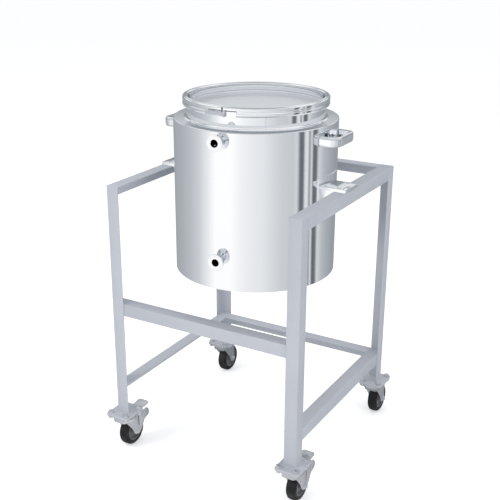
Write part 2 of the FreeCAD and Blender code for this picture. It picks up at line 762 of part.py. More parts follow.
nozzles = new_body("nozzles")
nozzle_face = f"({JACKET_R} + Sizes.nozzle_reach)"
nozzle_root = f"({JACKET_R} - 2 * Sizes.jacket_wall)"
nozzle_bore_r = "(Sizes.nozzle_bore / 2)"
nozzle_pipe_r = "(Sizes.nozzle_pipe_diameter / 2)"
ferrule_r = "(Sizes.ferrule_diameter / 2)"
ferrule_back = f"({nozzle_face} - Sizes.ferrule_edge)"
taper_back = f"({ferrule_back} - Sizes.ferrule_taper)"
for height in NOZZLE_HEIGHTS:
    half_section = new_sketch(nozzles, "XZ_Plane", up=height)
    outline(half_section, [(nozzle_root, nozzle_bore_r), (nozzle_face, nozzle_bore_r),
                           (nozzle_face, ferrule_r), (ferrule_back, ferrule_r),
                           (taper_back, nozzle_pipe_r), (nozzle_root, nozzle_pipe_r)])
    revolve(nozzles, half_section, axis="H_Axis")
place_on_vessel(nozzles, turn="Sizes.nozzle_angle")


# Handles: a wide convex strip bent into a loop in plan

def handle(label, turn):
    body = new_body(label)
    loop = new_sketch(body, "XY_Plane")
    root = f"({JACKET_R} - Sizes.handle_reach / 2)"
    out = f"({JACKET_R} + Sizes.handle_reach)"
    span = "Sizes.handle_half_span"
    corner = "Sizes.handle_corner"
    outline(loop, [(root, f"-{span}"),
                   (f"({out} - {corner})", f"-{span}", corner, 1),
                   (out, f"(-{span} + {corner})"),
                   (out, f"({span} - {corner})", corner, 1),
                   (f"({out} - {corner})", span),
                   (root, span)])
    pad(body, loop, "Sizes.handle_strip_height", symmetric=True)
    grip = new_sketch(body, "XY_Plane")
    strip = "Sizes.handle_strip_wall"
    grip_corner = f"({corner} - {strip})"
    outline(grip, [(f"({root} - {strip})", f"(-{span} + {strip})"),
                   (f"({out} - {corner})", f"(-{span} + {strip})", grip_corner, 1),
                   (f"({out} - {strip})", f"(-{span} + {corner})"),
                   (f"({out} - {strip})", f"({span} - {corner})", grip_corner, 1),
                   (f"({out} - {corner})", f"({span} - {strip})"),
                   (f"({root} - {strip})", f"({span} - {strip})")])
    pocket_both_ways(body, grip, "(2 * Sizes.handle_strip_height)")
    jacket_cut = new_sketch(body, "XY_Plane")
    circle(jacket_cut, "0", "0", "Sizes.jacket_diameter")
    pocket_both_ways(body, jacket_cut, "(2 * Sizes.handle_strip_height)")
    half_strip = value("Sizes.handle_strip_height / 2")
    jacket_r = value(JACKET_R)

    def is_strip_edge(edge, middle):
        """The long edges above and below, not those that lie on the jacket."""
        at_face = abs(abs(middle.z) - half_strip) < 0.01
        return at_face and math.hypot(middle.x, middle.y) > jacket_r + 0.5

    fillet_where(body, "Sizes.handle_edge", is_strip_edge)
    place(body, along=STAND_Y, up=f"({VESSEL_Z} + Sizes.jacket_height - Sizes.handle_drop)",
          turn=turn)


handle("handle_right", "0")
handle("handle_left", "180")


# Brackets: curved pad on the jacket, a thick shelf that lies on the top rail, two gussets

def bracket(label, turn):
    body = new_body(label)
    pad_outline = new_sketch(body, "XZ_Plane")
    pad_top = "(Sizes.seat_height + Sizes.shelf_wall + Sizes.bracket_pad_above)"
    pad_foot = "(Sizes.seat_height - Sizes.bracket_pad_below)"
    pad_out = f"({JACKET_R} + Sizes.bracket_pad_wall)"
    outline(pad_outline, rectangle(JACKET_R, pad_foot, pad_out, pad_top))
    curved_pad = revolve(body, pad_outline, "(2 * Sizes.bracket_pad_half_angle)")
    curved_pad.Midplane = True
    # The shelf and the gussets start inside the jacket's circle and are then cut back to it
    inside_x = f"({JACKET_R} - Sizes.shelf_wall)"
    shelf = new_sketch(body, "XY_Plane", lift="(Sizes.seat_height + Sizes.shelf_wall / 2)")
    end_x = f"({OUTER_X} - Sizes.shelf_end_inset)"
    half_width = "(Sizes.shelf_width / 2)"
    corner = "Sizes.shelf_corner"
    outline(shelf, [(inside_x, f"-{half_width}"),
                    (f"({end_x} - {corner})", f"-{half_width}", corner, 1),
                    (end_x, f"(-{half_width} + {corner})"),
                    (end_x, f"({half_width} - {corner})", corner, 1),
                    (f"({end_x} - {corner})", half_width),
                    (inside_x, half_width)])
    for step in (-1, 1):
        circle(shelf, f"({OUTER_X} - Sizes.seat_hole_inset)",
               f"({step} * Sizes.seat_hole_spacing / 2)", "Sizes.seat_hole_diameter")
    pad(body, shelf, "Sizes.shelf_wall", symmetric=True)
    toe_x = f"({OUTER_X} - {ANGLE} - Sizes.gusset_rail_gap)"
    for step in (-1, 1):
        gusset = new_sketch(body, "XZ_Plane", lift=f"({step} * Sizes.gusset_spacing / 2)")
        outline(gusset, [(inside_x, "Sizes.seat_height"),
                         (inside_x, "(Sizes.seat_height - Sizes.gusset_drop)"),
                         (pad_out, "(Sizes.seat_height - Sizes.gusset_drop)"),
                         (toe_x, "(Sizes.seat_height - Sizes.gusset_toe)"),
                         (toe_x, "Sizes.seat_height")])
        pad(body, gusset, "Sizes.gusset_wall", symmetric=True)
    jacket_circle = new_sketch(body, "XY_Plane", lift="Sizes.seat_height")
    circle(jacket_circle, "0", "0", "Sizes.jacket_diameter")
    pocket_both_ways(body, jacket_circle, "(2 * Sizes.seat_height)")
    place_on_vessel(body, turn=turn)


bracket("bracket_right", "0")
bracket("bracket_left", "180")

# Gasket between the pot's rim and the lid

gasket = new_body("lid_gasket")
gasket_sketch = new_sketch(gasket, "XZ_Plane")
outline(gasket_sketch, rectangle(f"({NECK_R} - 1)", RIM_TOP, RIM_R, LID_FOOT))
revolve(gasket, gasket_sketch)
place_on_vessel(gasket)

# Lid: sunk panel inside a raised hollow rim that stands on the gasket

lid = new_body("lid")
lid_sketch = new_sketch(lid, "XZ_Plane")
lid_wall = "Sizes.lid_wall"
plug_out = f"({NECK_R} - {pot_wall} - Sizes.lid_plug_gap)"
plug_in = f"({plug_out} - {lid_wall})"
crest_out = f"({plug_in} + Sizes.lid_crest_width)"
crest_r = "(Sizes.lid_crest_width / 2)"
crest_mid = f"({plug_in} + {crest_r})"
crest_start = f"({LID_CREST} - {crest_r})"
hollow_r = f"({crest_r} - {lid_wall})"
outline(lid_sketch, [
    ("0", f"({LID_PANEL} - {lid_wall})"),
    (plug_out, f"({LID_PANEL} - {lid_wall})"),
    (plug_out, crest_start, hollow_r, -1),
    (crest_mid, f"({LID_CREST} - {lid_wall})", hollow_r, -1),
    (f"({crest_out} - {lid_wall})", crest_start),
    (f"({crest_out} - {lid_wall})", LID_FOOT),
    (crest_out, LID_FOOT),
    (crest_out, crest_start, crest_r, 1),
    (crest_mid, LID_CREST, crest_r, 1),
    (plug_in, crest_start),
    (plug_in, LID_PANEL),
    ("0", LID_PANEL)])
revolve(lid, lid_sketch)
place_on_vessel(lid)

# Clamp band: split ring of rounded section with a groove round its middle

band = new_body("clamp_band")
band_sketch = new_sketch(band, "XZ_Plane")
band_wall = "Sizes.band_wall"
band_corner = "Sizes.band_corner"
band_in = f"({BAND_R} - {band_wall})"
inner_corner = f"({band_corner} - {band_wall})"
band_foot = f"({RIM_UNDERSIDE} - {band_wall})"
band_lip_r = f"({crest_mid} + {crest_r} * 0.8)"
band_lip = f"({crest_start} + {crest_r} * 0.6 + Sizes.band_fit)"
band_top = f"({band_lip} + {band_wall})"
groove = f"({RIM_TOP} + Sizes.band_groove_rise)"
groove_half = "Sizes.band_groove_half_width"
groove_depth = "Sizes.band_groove_depth"
outline(band_sketch, [
    (f"({NECK_R} + 2)", band_foot),
    (f"({BAND_R} - {band_corner})", band_foot, band_corner, 1),
    (BAND_R, f"({band_foot} + {band_corner})"),
    (BAND_R, f"({groove} - {groove_half})"),
    (f"({BAND_R} - {groove_depth})", groove),
    (BAND_R, f"({groove} + {groove_half})"),
    (BAND_R, f"({band_top} - {band_corner})", band_corner, 1),
    (f"({BAND_R} - {band_corner})", band_top),
    (band_lip_r, band_top),
    (band_lip_r, band_lip),
    (f"({BAND_R} - {band_corner})", band_lip, inner_corner, -1),
    (band_in, f"({band_top} - {band_corner})"),
    (band_in, f"({groove} + {groove_half})"),
    (f"({band_in} - {groove_depth})", groove),
    (band_in, f"({groove} - {groove_half})"),
    (band_in, f"({band_foot} + {band_corner})", inner_corner, -1),
    (f"({BAND_R} - {band_corner})", f"({band_foot} + {band_wall})"),
    (f"({NECK_R} + 2)", f"({band_foot} + {band_wall})")])
revolve(band, band_sketch, "(360 - Sizes.band_gap_angle)")
place_on_vessel(band, turn="(Sizes.latch_angle - Sizes.band_gap_angle)")

# Latch plate on one end of the band, with two ears and the lever's pin between them

LEVER_FOOT = f"({band_foot} + Sizes.latch_lever_drop)"
LEVER_TOP = f"({LEVER_FOOT} + Sizes.latch_lever_height)"
LEVER_IN = f"({BAND_R} + Sizes.latch_ear_wall + Sizes.latch_gap)"
PIN_R = f"({LEVER_IN} + Sizes.latch_eye_diameter / 2)"

latch_plate = new_body("latch_plate")
plate_sketch = new_sketch(latch_plate, "XZ_Plane")
ear_wall = "Sizes.latch_ear_wall"
ear_foot = f"({LEVER_FOOT} - Sizes.latch_gap - {ear_wall})"
ear_top = f"({LEVER_TOP} + Sizes.latch_gap + {ear_wall})"
outline(plate_sketch, rectangle(BAND_R, ear_foot, f"({BAND_R} + {ear_wall})", ear_top))
revolve(latch_plate, plate_sketch, "Sizes.latch_plate_angle")
for foot, top in ((ear_foot, f"({ear_foot} + {ear_wall})"),
                  (f"({ear_top} - {ear_wall})", ear_top)):
    ear = new_sketch(latch_plate, "XY_Plane", lift=f"(({foot} + {top}) / 2)")
    reach = f"({PIN_R} + Sizes.latch_eye_diameter / 2)"
    ear_half = "(Sizes.latch_eye_diameter / 2)"
    outline(ear, rectangle(f"({BAND_R} + 0.1)", f"-{ear_half}", reach, ear_half))
    pad(latch_plate, ear, ear_wall, symmetric=True)
pin_sketch = new_sketch(latch_plate, "XY_Plane", lift=f"(({ear_foot} + {ear_top}) / 2)")
circle(pin_sketch, PIN_R, "0", "Sizes.latch_pin_diameter")
pad(latch_plate, pin_sketch, f"({ear_top} - {ear_foot})", symmetric=True)
place_on_vessel(latch_plate, turn="Sizes.latch_angle")

# Latch lever: curved strip that lies along the band, with an eye round the pin

lever = new_body("latch_lever")
lever_sketch = new_sketch(lever, "XZ_Plane")
outline(lever_sketch, rectangle(LEVER_IN, LEVER_FOOT,
                                f"({LEVER_IN} + Sizes.latch_lever_wall)", LEVER_TOP))
revolve(lever, lever_sketch, "Sizes.latch_lever_angle")
eye_place = new_sketch(lever, "XY_Plane", lift=f"(({LEVER_FOOT} + {LEVER_TOP}) / 2)")
LEVER_TURN = "Sizes.latch_lever_angle"
circle(eye_place, f"({PIN_R} * cos({LEVER_TURN} * 1 deg))",
       f"({PIN_R} * sin({LEVER_TURN} * 1 deg))", "Sizes.latch_eye_diameter")
pad(lever, eye_place, "Sizes.latch_lever_height", symmetric=True)
bore_place = new_sketch(lever, "XY_Plane", lift=f"(({LEVER_FOOT} + {LEVER_TOP}) / 2)")
circle(bore_place, f"({PIN_R} * cos({LEVER_TURN} * 1 deg))",
       f"({PIN_R} * sin({LEVER_TURN} * 1 deg))",
       "(Sizes.latch_pin_diameter + 2 * Sizes.turning_clearance)")
pocket_both_ways(lever, bore_place, "(3 * Sizes.latch_lever_height)")
place_on_vessel(lever, turn=f"(Sizes.latch_angle - {LEVER_TURN})")

# Check every object and write the files

document.recompute()
for item in document.Objects:
    if "Invalid" in item.State or "Error" in item.State:
        raise RuntimeError(f"{item.Label} is {item.State}")
for body in subparts:
    shape = body.Shape
    if shape.isNull() or not shape.isValid() or not shape.Solids:
        raise RuntimeError(f"{body.Label} has no valid solid")
for body in subparts:
    body.Shape.exportStep(f"parts/{body.Label}.step")
print(len(subparts), "sub-parts written")
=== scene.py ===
import bmesh
import bpy
import math
from mathutils import Matrix, Vector


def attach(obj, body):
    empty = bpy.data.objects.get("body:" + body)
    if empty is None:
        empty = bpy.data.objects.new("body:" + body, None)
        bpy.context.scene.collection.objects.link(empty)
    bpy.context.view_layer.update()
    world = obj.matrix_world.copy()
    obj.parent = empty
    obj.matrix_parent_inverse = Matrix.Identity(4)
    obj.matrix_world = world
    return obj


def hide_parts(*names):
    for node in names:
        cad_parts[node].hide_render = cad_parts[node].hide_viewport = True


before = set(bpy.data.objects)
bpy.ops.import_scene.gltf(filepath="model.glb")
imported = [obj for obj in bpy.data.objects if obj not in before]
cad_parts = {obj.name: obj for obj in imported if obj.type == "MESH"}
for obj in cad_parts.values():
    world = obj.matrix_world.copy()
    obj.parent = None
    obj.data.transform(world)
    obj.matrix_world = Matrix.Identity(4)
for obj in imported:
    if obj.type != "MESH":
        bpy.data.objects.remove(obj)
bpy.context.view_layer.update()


# The studio: a white floor, a pale sky, soft lamps, and grey cards and black flags around the
# object that only its metal shows. The camera stands at the front right and looks down.
camera = bpy.data.objects.new("camera", bpy.data.cameras.new("camera"))
bpy.context.scene.collection.objects.link(camera)
camera.data.sensor_width = 36
camera.data.lens = 65.33
camera.data.shift_x = 0.0256
camera.data.shift_y = 0.0325
camera.data.clip_end = 200
heading = math.radians(-30.626)
dip = math.radians(20.986)
forward = Vector((math.sin(heading) * math.cos(dip), math.cos(heading) * math.cos(dip),
                  -math.sin(dip)))
to_right = Vector((math.cos(heading), -math.sin(heading), 0))
upward = to_right.cross(forward)
camera.matrix_world = (Matrix.Translation((1.3359, -2.3847, 1.6417))
                       @ Matrix((to_right, upward, -forward)).transposed().to_4x4())
bpy.context.scene.camera = camera

bpy.context.scene.view_settings.view_transform = "Standard"

# Cards and flags by the direction in which they stand, in degrees from +X: where each begins,
# and how bright it is
SURROUND = ((-180, 0.49), (-159, 0.57), (-143, 0.68), (-128, 0.88), (-116, 1.06), (-93, 1.06),
            (-80, 0.96), (-66, 0.90), (-52, 0.86), (-39, 0.77), (-25, 0.68), (-10, 0.64),
            (-4, 0.72), (-1.2, 0.42), (0.6, 0.16), (5.8, 0.20), (8.6, 0.76), (13, 0.82),
            (16, 0.26), (19.5, 0.80), (23, 0.15), (29, 0.20), (33, 0.72), (44, 0.54),
            (56, 0.46), (80, 0.37), (113, 0.36), (148, 0.42))


def cold(bright):
    """A grey that is a little bluer the darker it is."""
    return (bright * (1 - 0.22 * (1 - bright)), bright * (1 - 0.10 * (1 - bright)), bright, 1)


def surround(nodes, links, where):
    """The brightness of the cards and flags in the direction of a point or a ray."""
    split = nodes.new("ShaderNodeSeparateXYZ")
    links.new(where, split.inputs["Vector"])
    around = nodes.new("ShaderNodeMath")
    around.operation = "ARCTAN2"
    links.new(split.outputs["Y"], around.inputs[0])
    links.new(split.outputs["X"], around.inputs[1])
    turns = nodes.new("ShaderNodeMapRange")
    turns.inputs["From Min"].default_value = -math.pi
    turns.inputs["From Max"].default_value = math.pi
    links.new(around.outputs["Value"], turns.inputs["Value"])
    cards = nodes.new("ShaderNodeValToRGB")
    stops = cards.color_ramp.elements
    stops[0].position = 0
    stops[1].position = 1
    for stop in (stops[0], stops[1]):
        stop.color = cold(SURROUND[0][1])
    for angle, bright in SURROUND[1:]:
        stop = stops.new((angle + 180) / 360)
        stop.color = cold(bright)
    links.new(turns.outputs["Result"], cards.inputs["Fac"])
    return cards.outputs["Color"]


sky = bpy.data.worlds.new("studio")
bpy.context.scene.world = sky
sky.use_nodes = True
nodes, links = sky.node_tree.nodes, sky.node_tree.links
nodes.clear()
sky_out = nodes.new("ShaderNodeOutputWorld")
direction = nodes.new("ShaderNodeTexCoord")
soft_sky = nodes.new("ShaderNodeBackground")
soft_sky.inputs["Color"].default_value = (0.97, 0.98, 1, 1)
soft_sky.inputs["Strength"].default_value = 0.62
card_sky = nodes.new("ShaderNodeBackground")
rise = nodes.new("ShaderNodeSeparateXYZ")
links.new(direction.outputs["Generated"], rise.inputs["Vector"])
canopy = nodes.new("ShaderNodeValToRGB")
canopy.color_ramp.elements[0].color = cold(0.28)
canopy.color_ramp.elements[1].color = cold(0.34)
for height, bright in ((0.16, 0.34), (0.26, 0.78), (0.40, 0.82), (0.50, 0.44), (0.60, 0.98),
                       (0.80, 0.98), (0.90, 0.40)):
    stop = canopy.color_ramp.elements.new(height)
    stop.color = cold(bright)
links.new(rise.outputs["Z"], canopy.inputs["Fac"])
above = nodes.new("ShaderNodeMapRange")
above.inputs["From Min"].default_value = 0.01
above.inputs["From Max"].default_value = 0.10
links.new(rise.outputs["Z"], above.inputs["Value"])
card_tone = nodes.new("ShaderNodeMixRGB")
links.new(above.outputs["Result"], card_tone.inputs["Fac"])
links.new(surround(nodes, links, direction.outputs["Generated"]), card_tone.inputs["Color1"])
links.new(canopy.outputs["Color"], card_tone.inputs["Color2"])
links.new(card_tone.outputs["Color"], card_sky.inputs["Color"])
white_sky = nodes.new("ShaderNodeBackground")
white_sky.inputs["Color"].default_value = (1, 1, 1, 1)
ray = nodes.new("ShaderNodeLightPath")
in_metal = nodes.new("ShaderNodeMixShader")
links.new(ray.outputs["Is Glossy Ray"], in_metal.inputs["Fac"])
links.new(soft_sky.outputs["Background"], in_metal.inputs[1])
links.new(card_sky.outputs["Background"], in_metal.inputs[2])
choose_sky = nodes.new("ShaderNodeMixShader")
links.new(ray.outputs["Is Camera Ray"], choose_sky.inputs["Fac"])
links.new(in_metal.outputs["Shader"], choose_sky.inputs[1])
links.new(white_sky.outputs["Background"], choose_sky.inputs[2])
links.new(choose_sky.outputs["Shader"], sky_out.inputs["Surface"])

bpy.ops.mesh.primitive_plane_add(size=80, location=(0, 0, 0))
floor = bpy.context.active_object
floor.name = "floor"
floor_paint = bpy.data.materials.new("white_floor")
floor_paint.use_nodes = True
nodes, links = floor_paint.node_tree.nodes, floor_paint.node_tree.links
nodes.clear()
floor_out = nodes.new("ShaderNodeOutputMaterial")
floor_matte = nodes.new("ShaderNodeBsdfDiffuse")
floor_matte.inputs["Color"].default_value = (0.93, 0.93, 0.93, 1)
spot = nodes.new("ShaderNodeTexCoord")
ray = nodes.new("ShaderNodeLightPath")
floor_glow = nodes.new("ShaderNodeEmission")
floor_sum = nodes.new("ShaderNodeAddShader")
glow = nodes.new("ShaderNodeMath")
glow.operation = "MULTIPLY"
glow.inputs[1].default_value = 0.42
links.new(ray.outputs["Is Camera Ray"], glow.inputs[0])
links.new(glow.outputs["Value"], floor_glow.inputs["Strength"])
links.new(floor_matte.outputs["BSDF"], floor_sum.inputs[0])
links.new(floor_glow.outputs["Emission"], floor_sum.inputs[1])
floor_cards = nodes.new("ShaderNodeEmission")
links.new(surround(nodes, links, spot.outputs["Object"]), floor_cards.inputs["Color"])
floor_side = nodes.new("ShaderNodeMixShader")
links.new(ray.outputs["Is Glossy Ray"], floor_side.inputs["Fac"])
links.new(floor_sum.outputs["Shader"], floor_side.inputs[1])
links.new(floor_cards.outputs["Emission"], floor_side.inputs[2])
links.new(floor_side.outputs["Shader"], floor_out.inputs["Surface"])
floor.data.materials.append(floor_paint)


def soft_lamp(name, place, aim, size, watts):
    """A square studio lamp that points at a spot on the object."""
    lamp = bpy.data.objects.new(name, bpy.data.lights.new(name, "AREA"))
    bpy.context.scene.collection.objects.link(lamp)
    lamp.data.shape = "SQUARE"
    lamp.data.size = size
    lamp.data.energy = watts
    lamp.visible_glossy = False
    lamp.location = place
    lamp.rotation_euler = (Vector(aim) - Vector(place)).to_track_quat("-Z", "Y").to_euler()


soft_lamp("key_lamp", (-2.2, -3.2, 3.4), (0, 0, 0.6), 2.2, 70)
soft_lamp("top_lamp", (0.4, 0.6, 4.2), (0, 0, 0.6), 2.5, 14)
soft_lamp("right_lamp", (3.8, -0.9, 1.5), (0, 0, 0.55), 2.4, 46)


# Legs: four lengths of stainless 40 x 40 x 3 mm angle with the corner outward. The bar is hot
# rolled and pickled, so it is pale, faintly mottled and rounded in the root and at the toes.
STAND_Y = -0.0165  # the frame's middle stands a little forward of the whole object's
HALF_FRAME = 0.325
LEG_FOOT = 0.136
NEAR = 1e-6


def only(piece):
    """Selects one object and nothing else."""
    bpy.ops.object.select_all(action="DESELECT")
    piece.select_set(True)
    bpy.context.view_layer.objects.active = piece


def started(name):
    """The object that an operator has just added, named and alone in the selection."""
    piece = bpy.context.active_object
    piece.name = name
    only(piece)
    return piece


def pick(piece, kind, test):
    """In edit mode, selects just the faces or the edges that pass a test."""
    bpy.ops.mesh.select_all(action="DESELECT")
    bpy.context.tool_settings.mesh_select_mode = (False, kind == "edges", kind == "faces")
    mesh = bmesh.from_edit_mesh(piece.data)
    for item in getattr(mesh, kind):
        if test(item):
            item.select_set(True)
    mesh.select_flush_mode()
    bmesh.update_edit_mesh(piece.data)


def middle(edge):
    """The point halfway along an edge."""
    return (edge.verts[0].co + edge.verts[1].co) / 2


def runs_along(edge, axis):
    """Whether an edge lies along the X, Y or Z axis: 0, 1 or 2."""
    way = (edge.verts[1].co - edge.verts[0].co).normalized()
    return abs(way[axis]) > 0.99


def round_edges(piece, width, segments, test):
    """In edit mode, rounds the edges that pass a test."""
    pick(piece, "edges", test)
    bpy.ops.mesh.bevel(offset=width, segments=segments, affect="EDGES")


def push(way):
    """In edit mode, extrudes what is selected."""
    bpy.ops.mesh.extrude_region_move(TRANSFORM_OT_translate={"value": way})


def merge_points(limit):
    """In edit mode, joins the points that lie on each other and leaves everything selected."""
    bpy.ops.mesh.select_all(action="SELECT")
    bpy.ops.mesh.remove_doubles(threshold=limit)
    bpy.ops.mesh.select_all(action="SELECT")


def face_outwards():
    """In edit mode, turns all faces outwards."""
    bpy.ops.mesh.select_all(action="SELECT")
    bpy.ops.mesh.normals_make_consistent(inside=False)


def soften(piece, width, segments=2, angle=30):
    """Breaks the sharp edges, as a file or a tumbling drum does."""
    only(piece)
    bevel = piece.modifiers.new("edges", "BEVEL")
    bevel.width = width
    bevel.segments = segments
    bevel.limit_method = "ANGLE"
    bevel.angle_limit = math.radians(angle)
    bpy.ops.object.modifier_apply(modifier="edges")


def set_down(piece, place=(0, 0, 0), first=(1, 0, 0), second=(0, 1, 0)):
    """Puts a piece in its place: its own X and Y axes are laid along the two given ways."""
    first, second = Vector(first), Vector(second)
    turn = Matrix((first, second, first.cross(second))).transposed().to_4x4()
    piece.matrix_world = Matrix.Translation(place) @ turn
    only(piece)
    bpy.ops.object.transform_apply(location=True, rotation=True, scale=True)
    return piece


def twin(piece, name):
    """A copy of a piece with a mesh of its own."""
    other = piece.copy()
    other.data = piece.data.copy()
    other.name = name
    bpy.context.scene.collection.objects.link(other)
    return other


def done(piece, body, coat, nodes=()):
    """Smooths a finished piece, coats it and ties it to its body."""
    only(piece)
    bpy.ops.object.shade_smooth_by_angle(angle=math.radians(30))
    piece.data.materials.clear()
    piece.data.materials.append(coat)
    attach(piece, body)
    if nodes:
        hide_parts(*nodes)
    # The polished vessel shows the studio and its own fittings, as if it were lit on its own
    piece.visible_glossy = body in ("vessel", "latch")


def noise(nodes, links, where, scale, detail):
    """A cloudy pattern that lies still on the piece."""
    cloud = nodes.new("ShaderNodeTexNoise")
    cloud.inputs["Scale"].default_value = scale
    cloud.inputs["Detail"].default_value = detail
    links.new(where, cloud.inputs["Vector"])
    return cloud


def raise_skin(nodes, links, shader, pattern, bump):
    """Lets a pattern stand out from the surface by a small height."""
    relief = nodes.new("ShaderNodeBump")
    relief.inputs["Distance"].default_value = bump
    links.new(pattern.outputs["Fac"], relief.inputs["Height"])
    links.new(relief.outputs["Normal"], shader.inputs["Normal"])


def metal(name, colour, smooth, rough, grain, bump, mottle, patch, stretch=(1, 1, 1), bare=1.0):
    """Metal. Grain is the texture's fineness, stretch draws it out along an axis, mottle is how
    far the shade drifts from patch to patch, and bare is less than 1 under an oxide skin."""
    coat = bpy.data.materials.new(name)
    coat.use_nodes = True
    nodes, links = coat.node_tree.nodes, coat.node_tree.links
    shader = nodes["Principled BSDF"]
    shader.inputs["Metallic"].default_value = bare
    where = nodes.new("ShaderNodeTexCoord")
    drawn = nodes.new("ShaderNodeMapping")
    drawn.inputs["Scale"].default_value = stretch
    links.new(where.outputs["Object"], drawn.inputs["Vector"])
    fine = noise(nodes, links, drawn.outputs["Vector"], grain, 4)
    fine.inputs["Roughness"].default_value = 0.6
    broad = noise(nodes, links, where.outputs["Object"], patch, 3)
    gloss = nodes.new("ShaderNodeMapRange")
    gloss.inputs["From Min"].default_value = 0.3
    gloss.inputs["From Max"].default_value = 0.7
    gloss.inputs["To Min"].default_value = smooth
    gloss.inputs["To Max"].default_value = rough
    links.new(fine.outputs["Fac"], gloss.inputs["Value"])
    links.new(gloss.outputs["Result"], shader.inputs["Roughness"])
    tone = nodes.new("ShaderNodeMix")
    tone.data_type = "RGBA"
    tone.inputs["A"].default_value = tuple(c * (1 - mottle) for c in colour) + (1,)
    tone.inputs["B"].default_value = tuple(min(1, c * (1 + mottle)) for c in colour) + (1,)
    links.new(broad.outputs["Fac"], tone.inputs["Factor"])
    links.new(tone.outputs["Result"], shader.inputs["Base Color"])
    raise_skin(nodes, links, shader, fine, bump)
    return coat


bar_steel = metal("pickled_bar_steel", (0.60, 0.625, 0.685), 0.44, 0.58, 420,
                  bump=0.00006, mottle=0.05, patch=9, bare=0.4)


def angle_bar(name, length):
    """A length of angle with its outer corner at the origin and its flanges along X and Y."""
    width, wall = 0.040, 0.003
    bpy.ops.mesh.primitive_plane_add(size=wall, location=(wall / 2, wall / 2, 0))
    bar = started(name)
    bpy.ops.object.transform_apply(location=True)
    bpy.ops.object.mode_set(mode="EDIT")
    for axis in (0, 1):
        reach = [0, 0, 0]
        reach[axis] = width - wall
        pick(bar, "edges", lambda edge: abs(middle(edge)[axis] - wall) < NEAR
             and runs_along(edge, 1 - axis) and middle(edge)[1 - axis] < wall)
        push(reach)
    merge_points(NEAR)
    push((0, 0, length))
    face_outwards()
    round_edges(bar, 0.004, 5, lambda edge: runs_along(edge, 2)
                and abs(middle(edge).x - wall) < NEAR and abs(middle(edge).y - wall) < NEAR)
    round_edges(bar, 0.0018, 3, lambda edge: runs_along(edge, 2)
                and (abs(middle(edge).x - width) < NEAR and abs(middle(edge).y - wall) < NEAR
                     or abs(middle(edge).y - width) < NEAR and abs(middle(edge).x - wall) < NEAR))
    bpy.ops.object.mode_set(mode="OBJECT")
    soften(bar, 0.0004)
    return bar


for name, x_side, y_side, first, second in (
        ("front_left", -1, -1, (1, 0, 0), (0, 1, 0)),
        ("front_right", 1, -1, (0, 1, 0), (-1, 0, 0)),
        ("back_right", 1, 1, (-1, 0, 0), (0, -1, 0)),
        ("back_left", -1, 1, (0, -1, 0), (1, 0, 0))):
    leg = angle_bar("leg_bar_" + name, 0.761)
    set_down(leg, (x_side * HALF_FRAME, y_side * HALF_FRAME + STAND_Y, LEG_FOOT), first, second)
    done(leg, "stand", bar_steel, ["leg_" + name])


# Lower rails and front rail: the same angle, lapped inside the flanges of the legs, one flange
# level on top and the other hanging on the outer side.
LAPPED = 0.322
for name, length, x, y, top, way, node in (
        ("lower_rail_bar_right", 0.644, LAPPED, LAPPED, 0.245, (-1, 0, 0), "lower_side_rails"),
        ("lower_rail_bar_left", 0.644, -LAPPED, -LAPPED, 0.245, (1, 0, 0), "lower_side_rails"),
        ("lower_rail_bar_back", 0.564, -0.282, LAPPED, 0.245, (0, -1, 0), "lower_rail_back"),
        ("front_rail_bar", 0.644, LAPPED, -LAPPED, 0.523, (0, 1, 0), "front_rail")):
    rail = angle_bar(name, length)
    set_down(rail, (x, y + STAND_Y, top), way, (0, 0, -1))
    done(rail, "stand", bar_steel, [node])


# Top rails: two side bars whose level flange covers the legs' ends, and a back bar between
# them. The side bars have two bolt holes each where the vessel's brackets sit.
def block(name, place, size):
    """A box with its middle at the given place. It stays in edit mode."""
    bpy.ops.mesh.primitive_cube_add(size=1, location=place, scale=size)
    piece = started(name)
    bpy.ops.object.transform_apply(location=True, rotation=True, scale=True)
    bpy.ops.object.mode_set(mode="EDIT")
    return piece


def combine(piece, other, how):
    """Joins, cuts or trims a piece with another, which is then taken away."""
    change = piece.modifiers.new("combine", "BOOLEAN")
    change.operation = how
    change.solver = "EXACT"
    change.object = other
    only(piece)
    bpy.ops.object.modifier_apply(modifier="combine")
    bpy.data.objects.remove(other, do_unlink=True)


def round_hole(piece, place, radius, depth, axis=(0, 0, 1)):
    """Drills a hole along an axis, as deep on both sides of the place."""
    bpy.ops.mesh.primitive_cylinder_add(vertices=48, radius=radius, depth=depth)
    drill = started("drill")
    drill.matrix_world = (Matrix.Translation(place)
                          @ Vector(axis).to_track_quat("Z", "Y").to_matrix().to_4x4())
    combine(piece, drill, "DIFFERENCE")


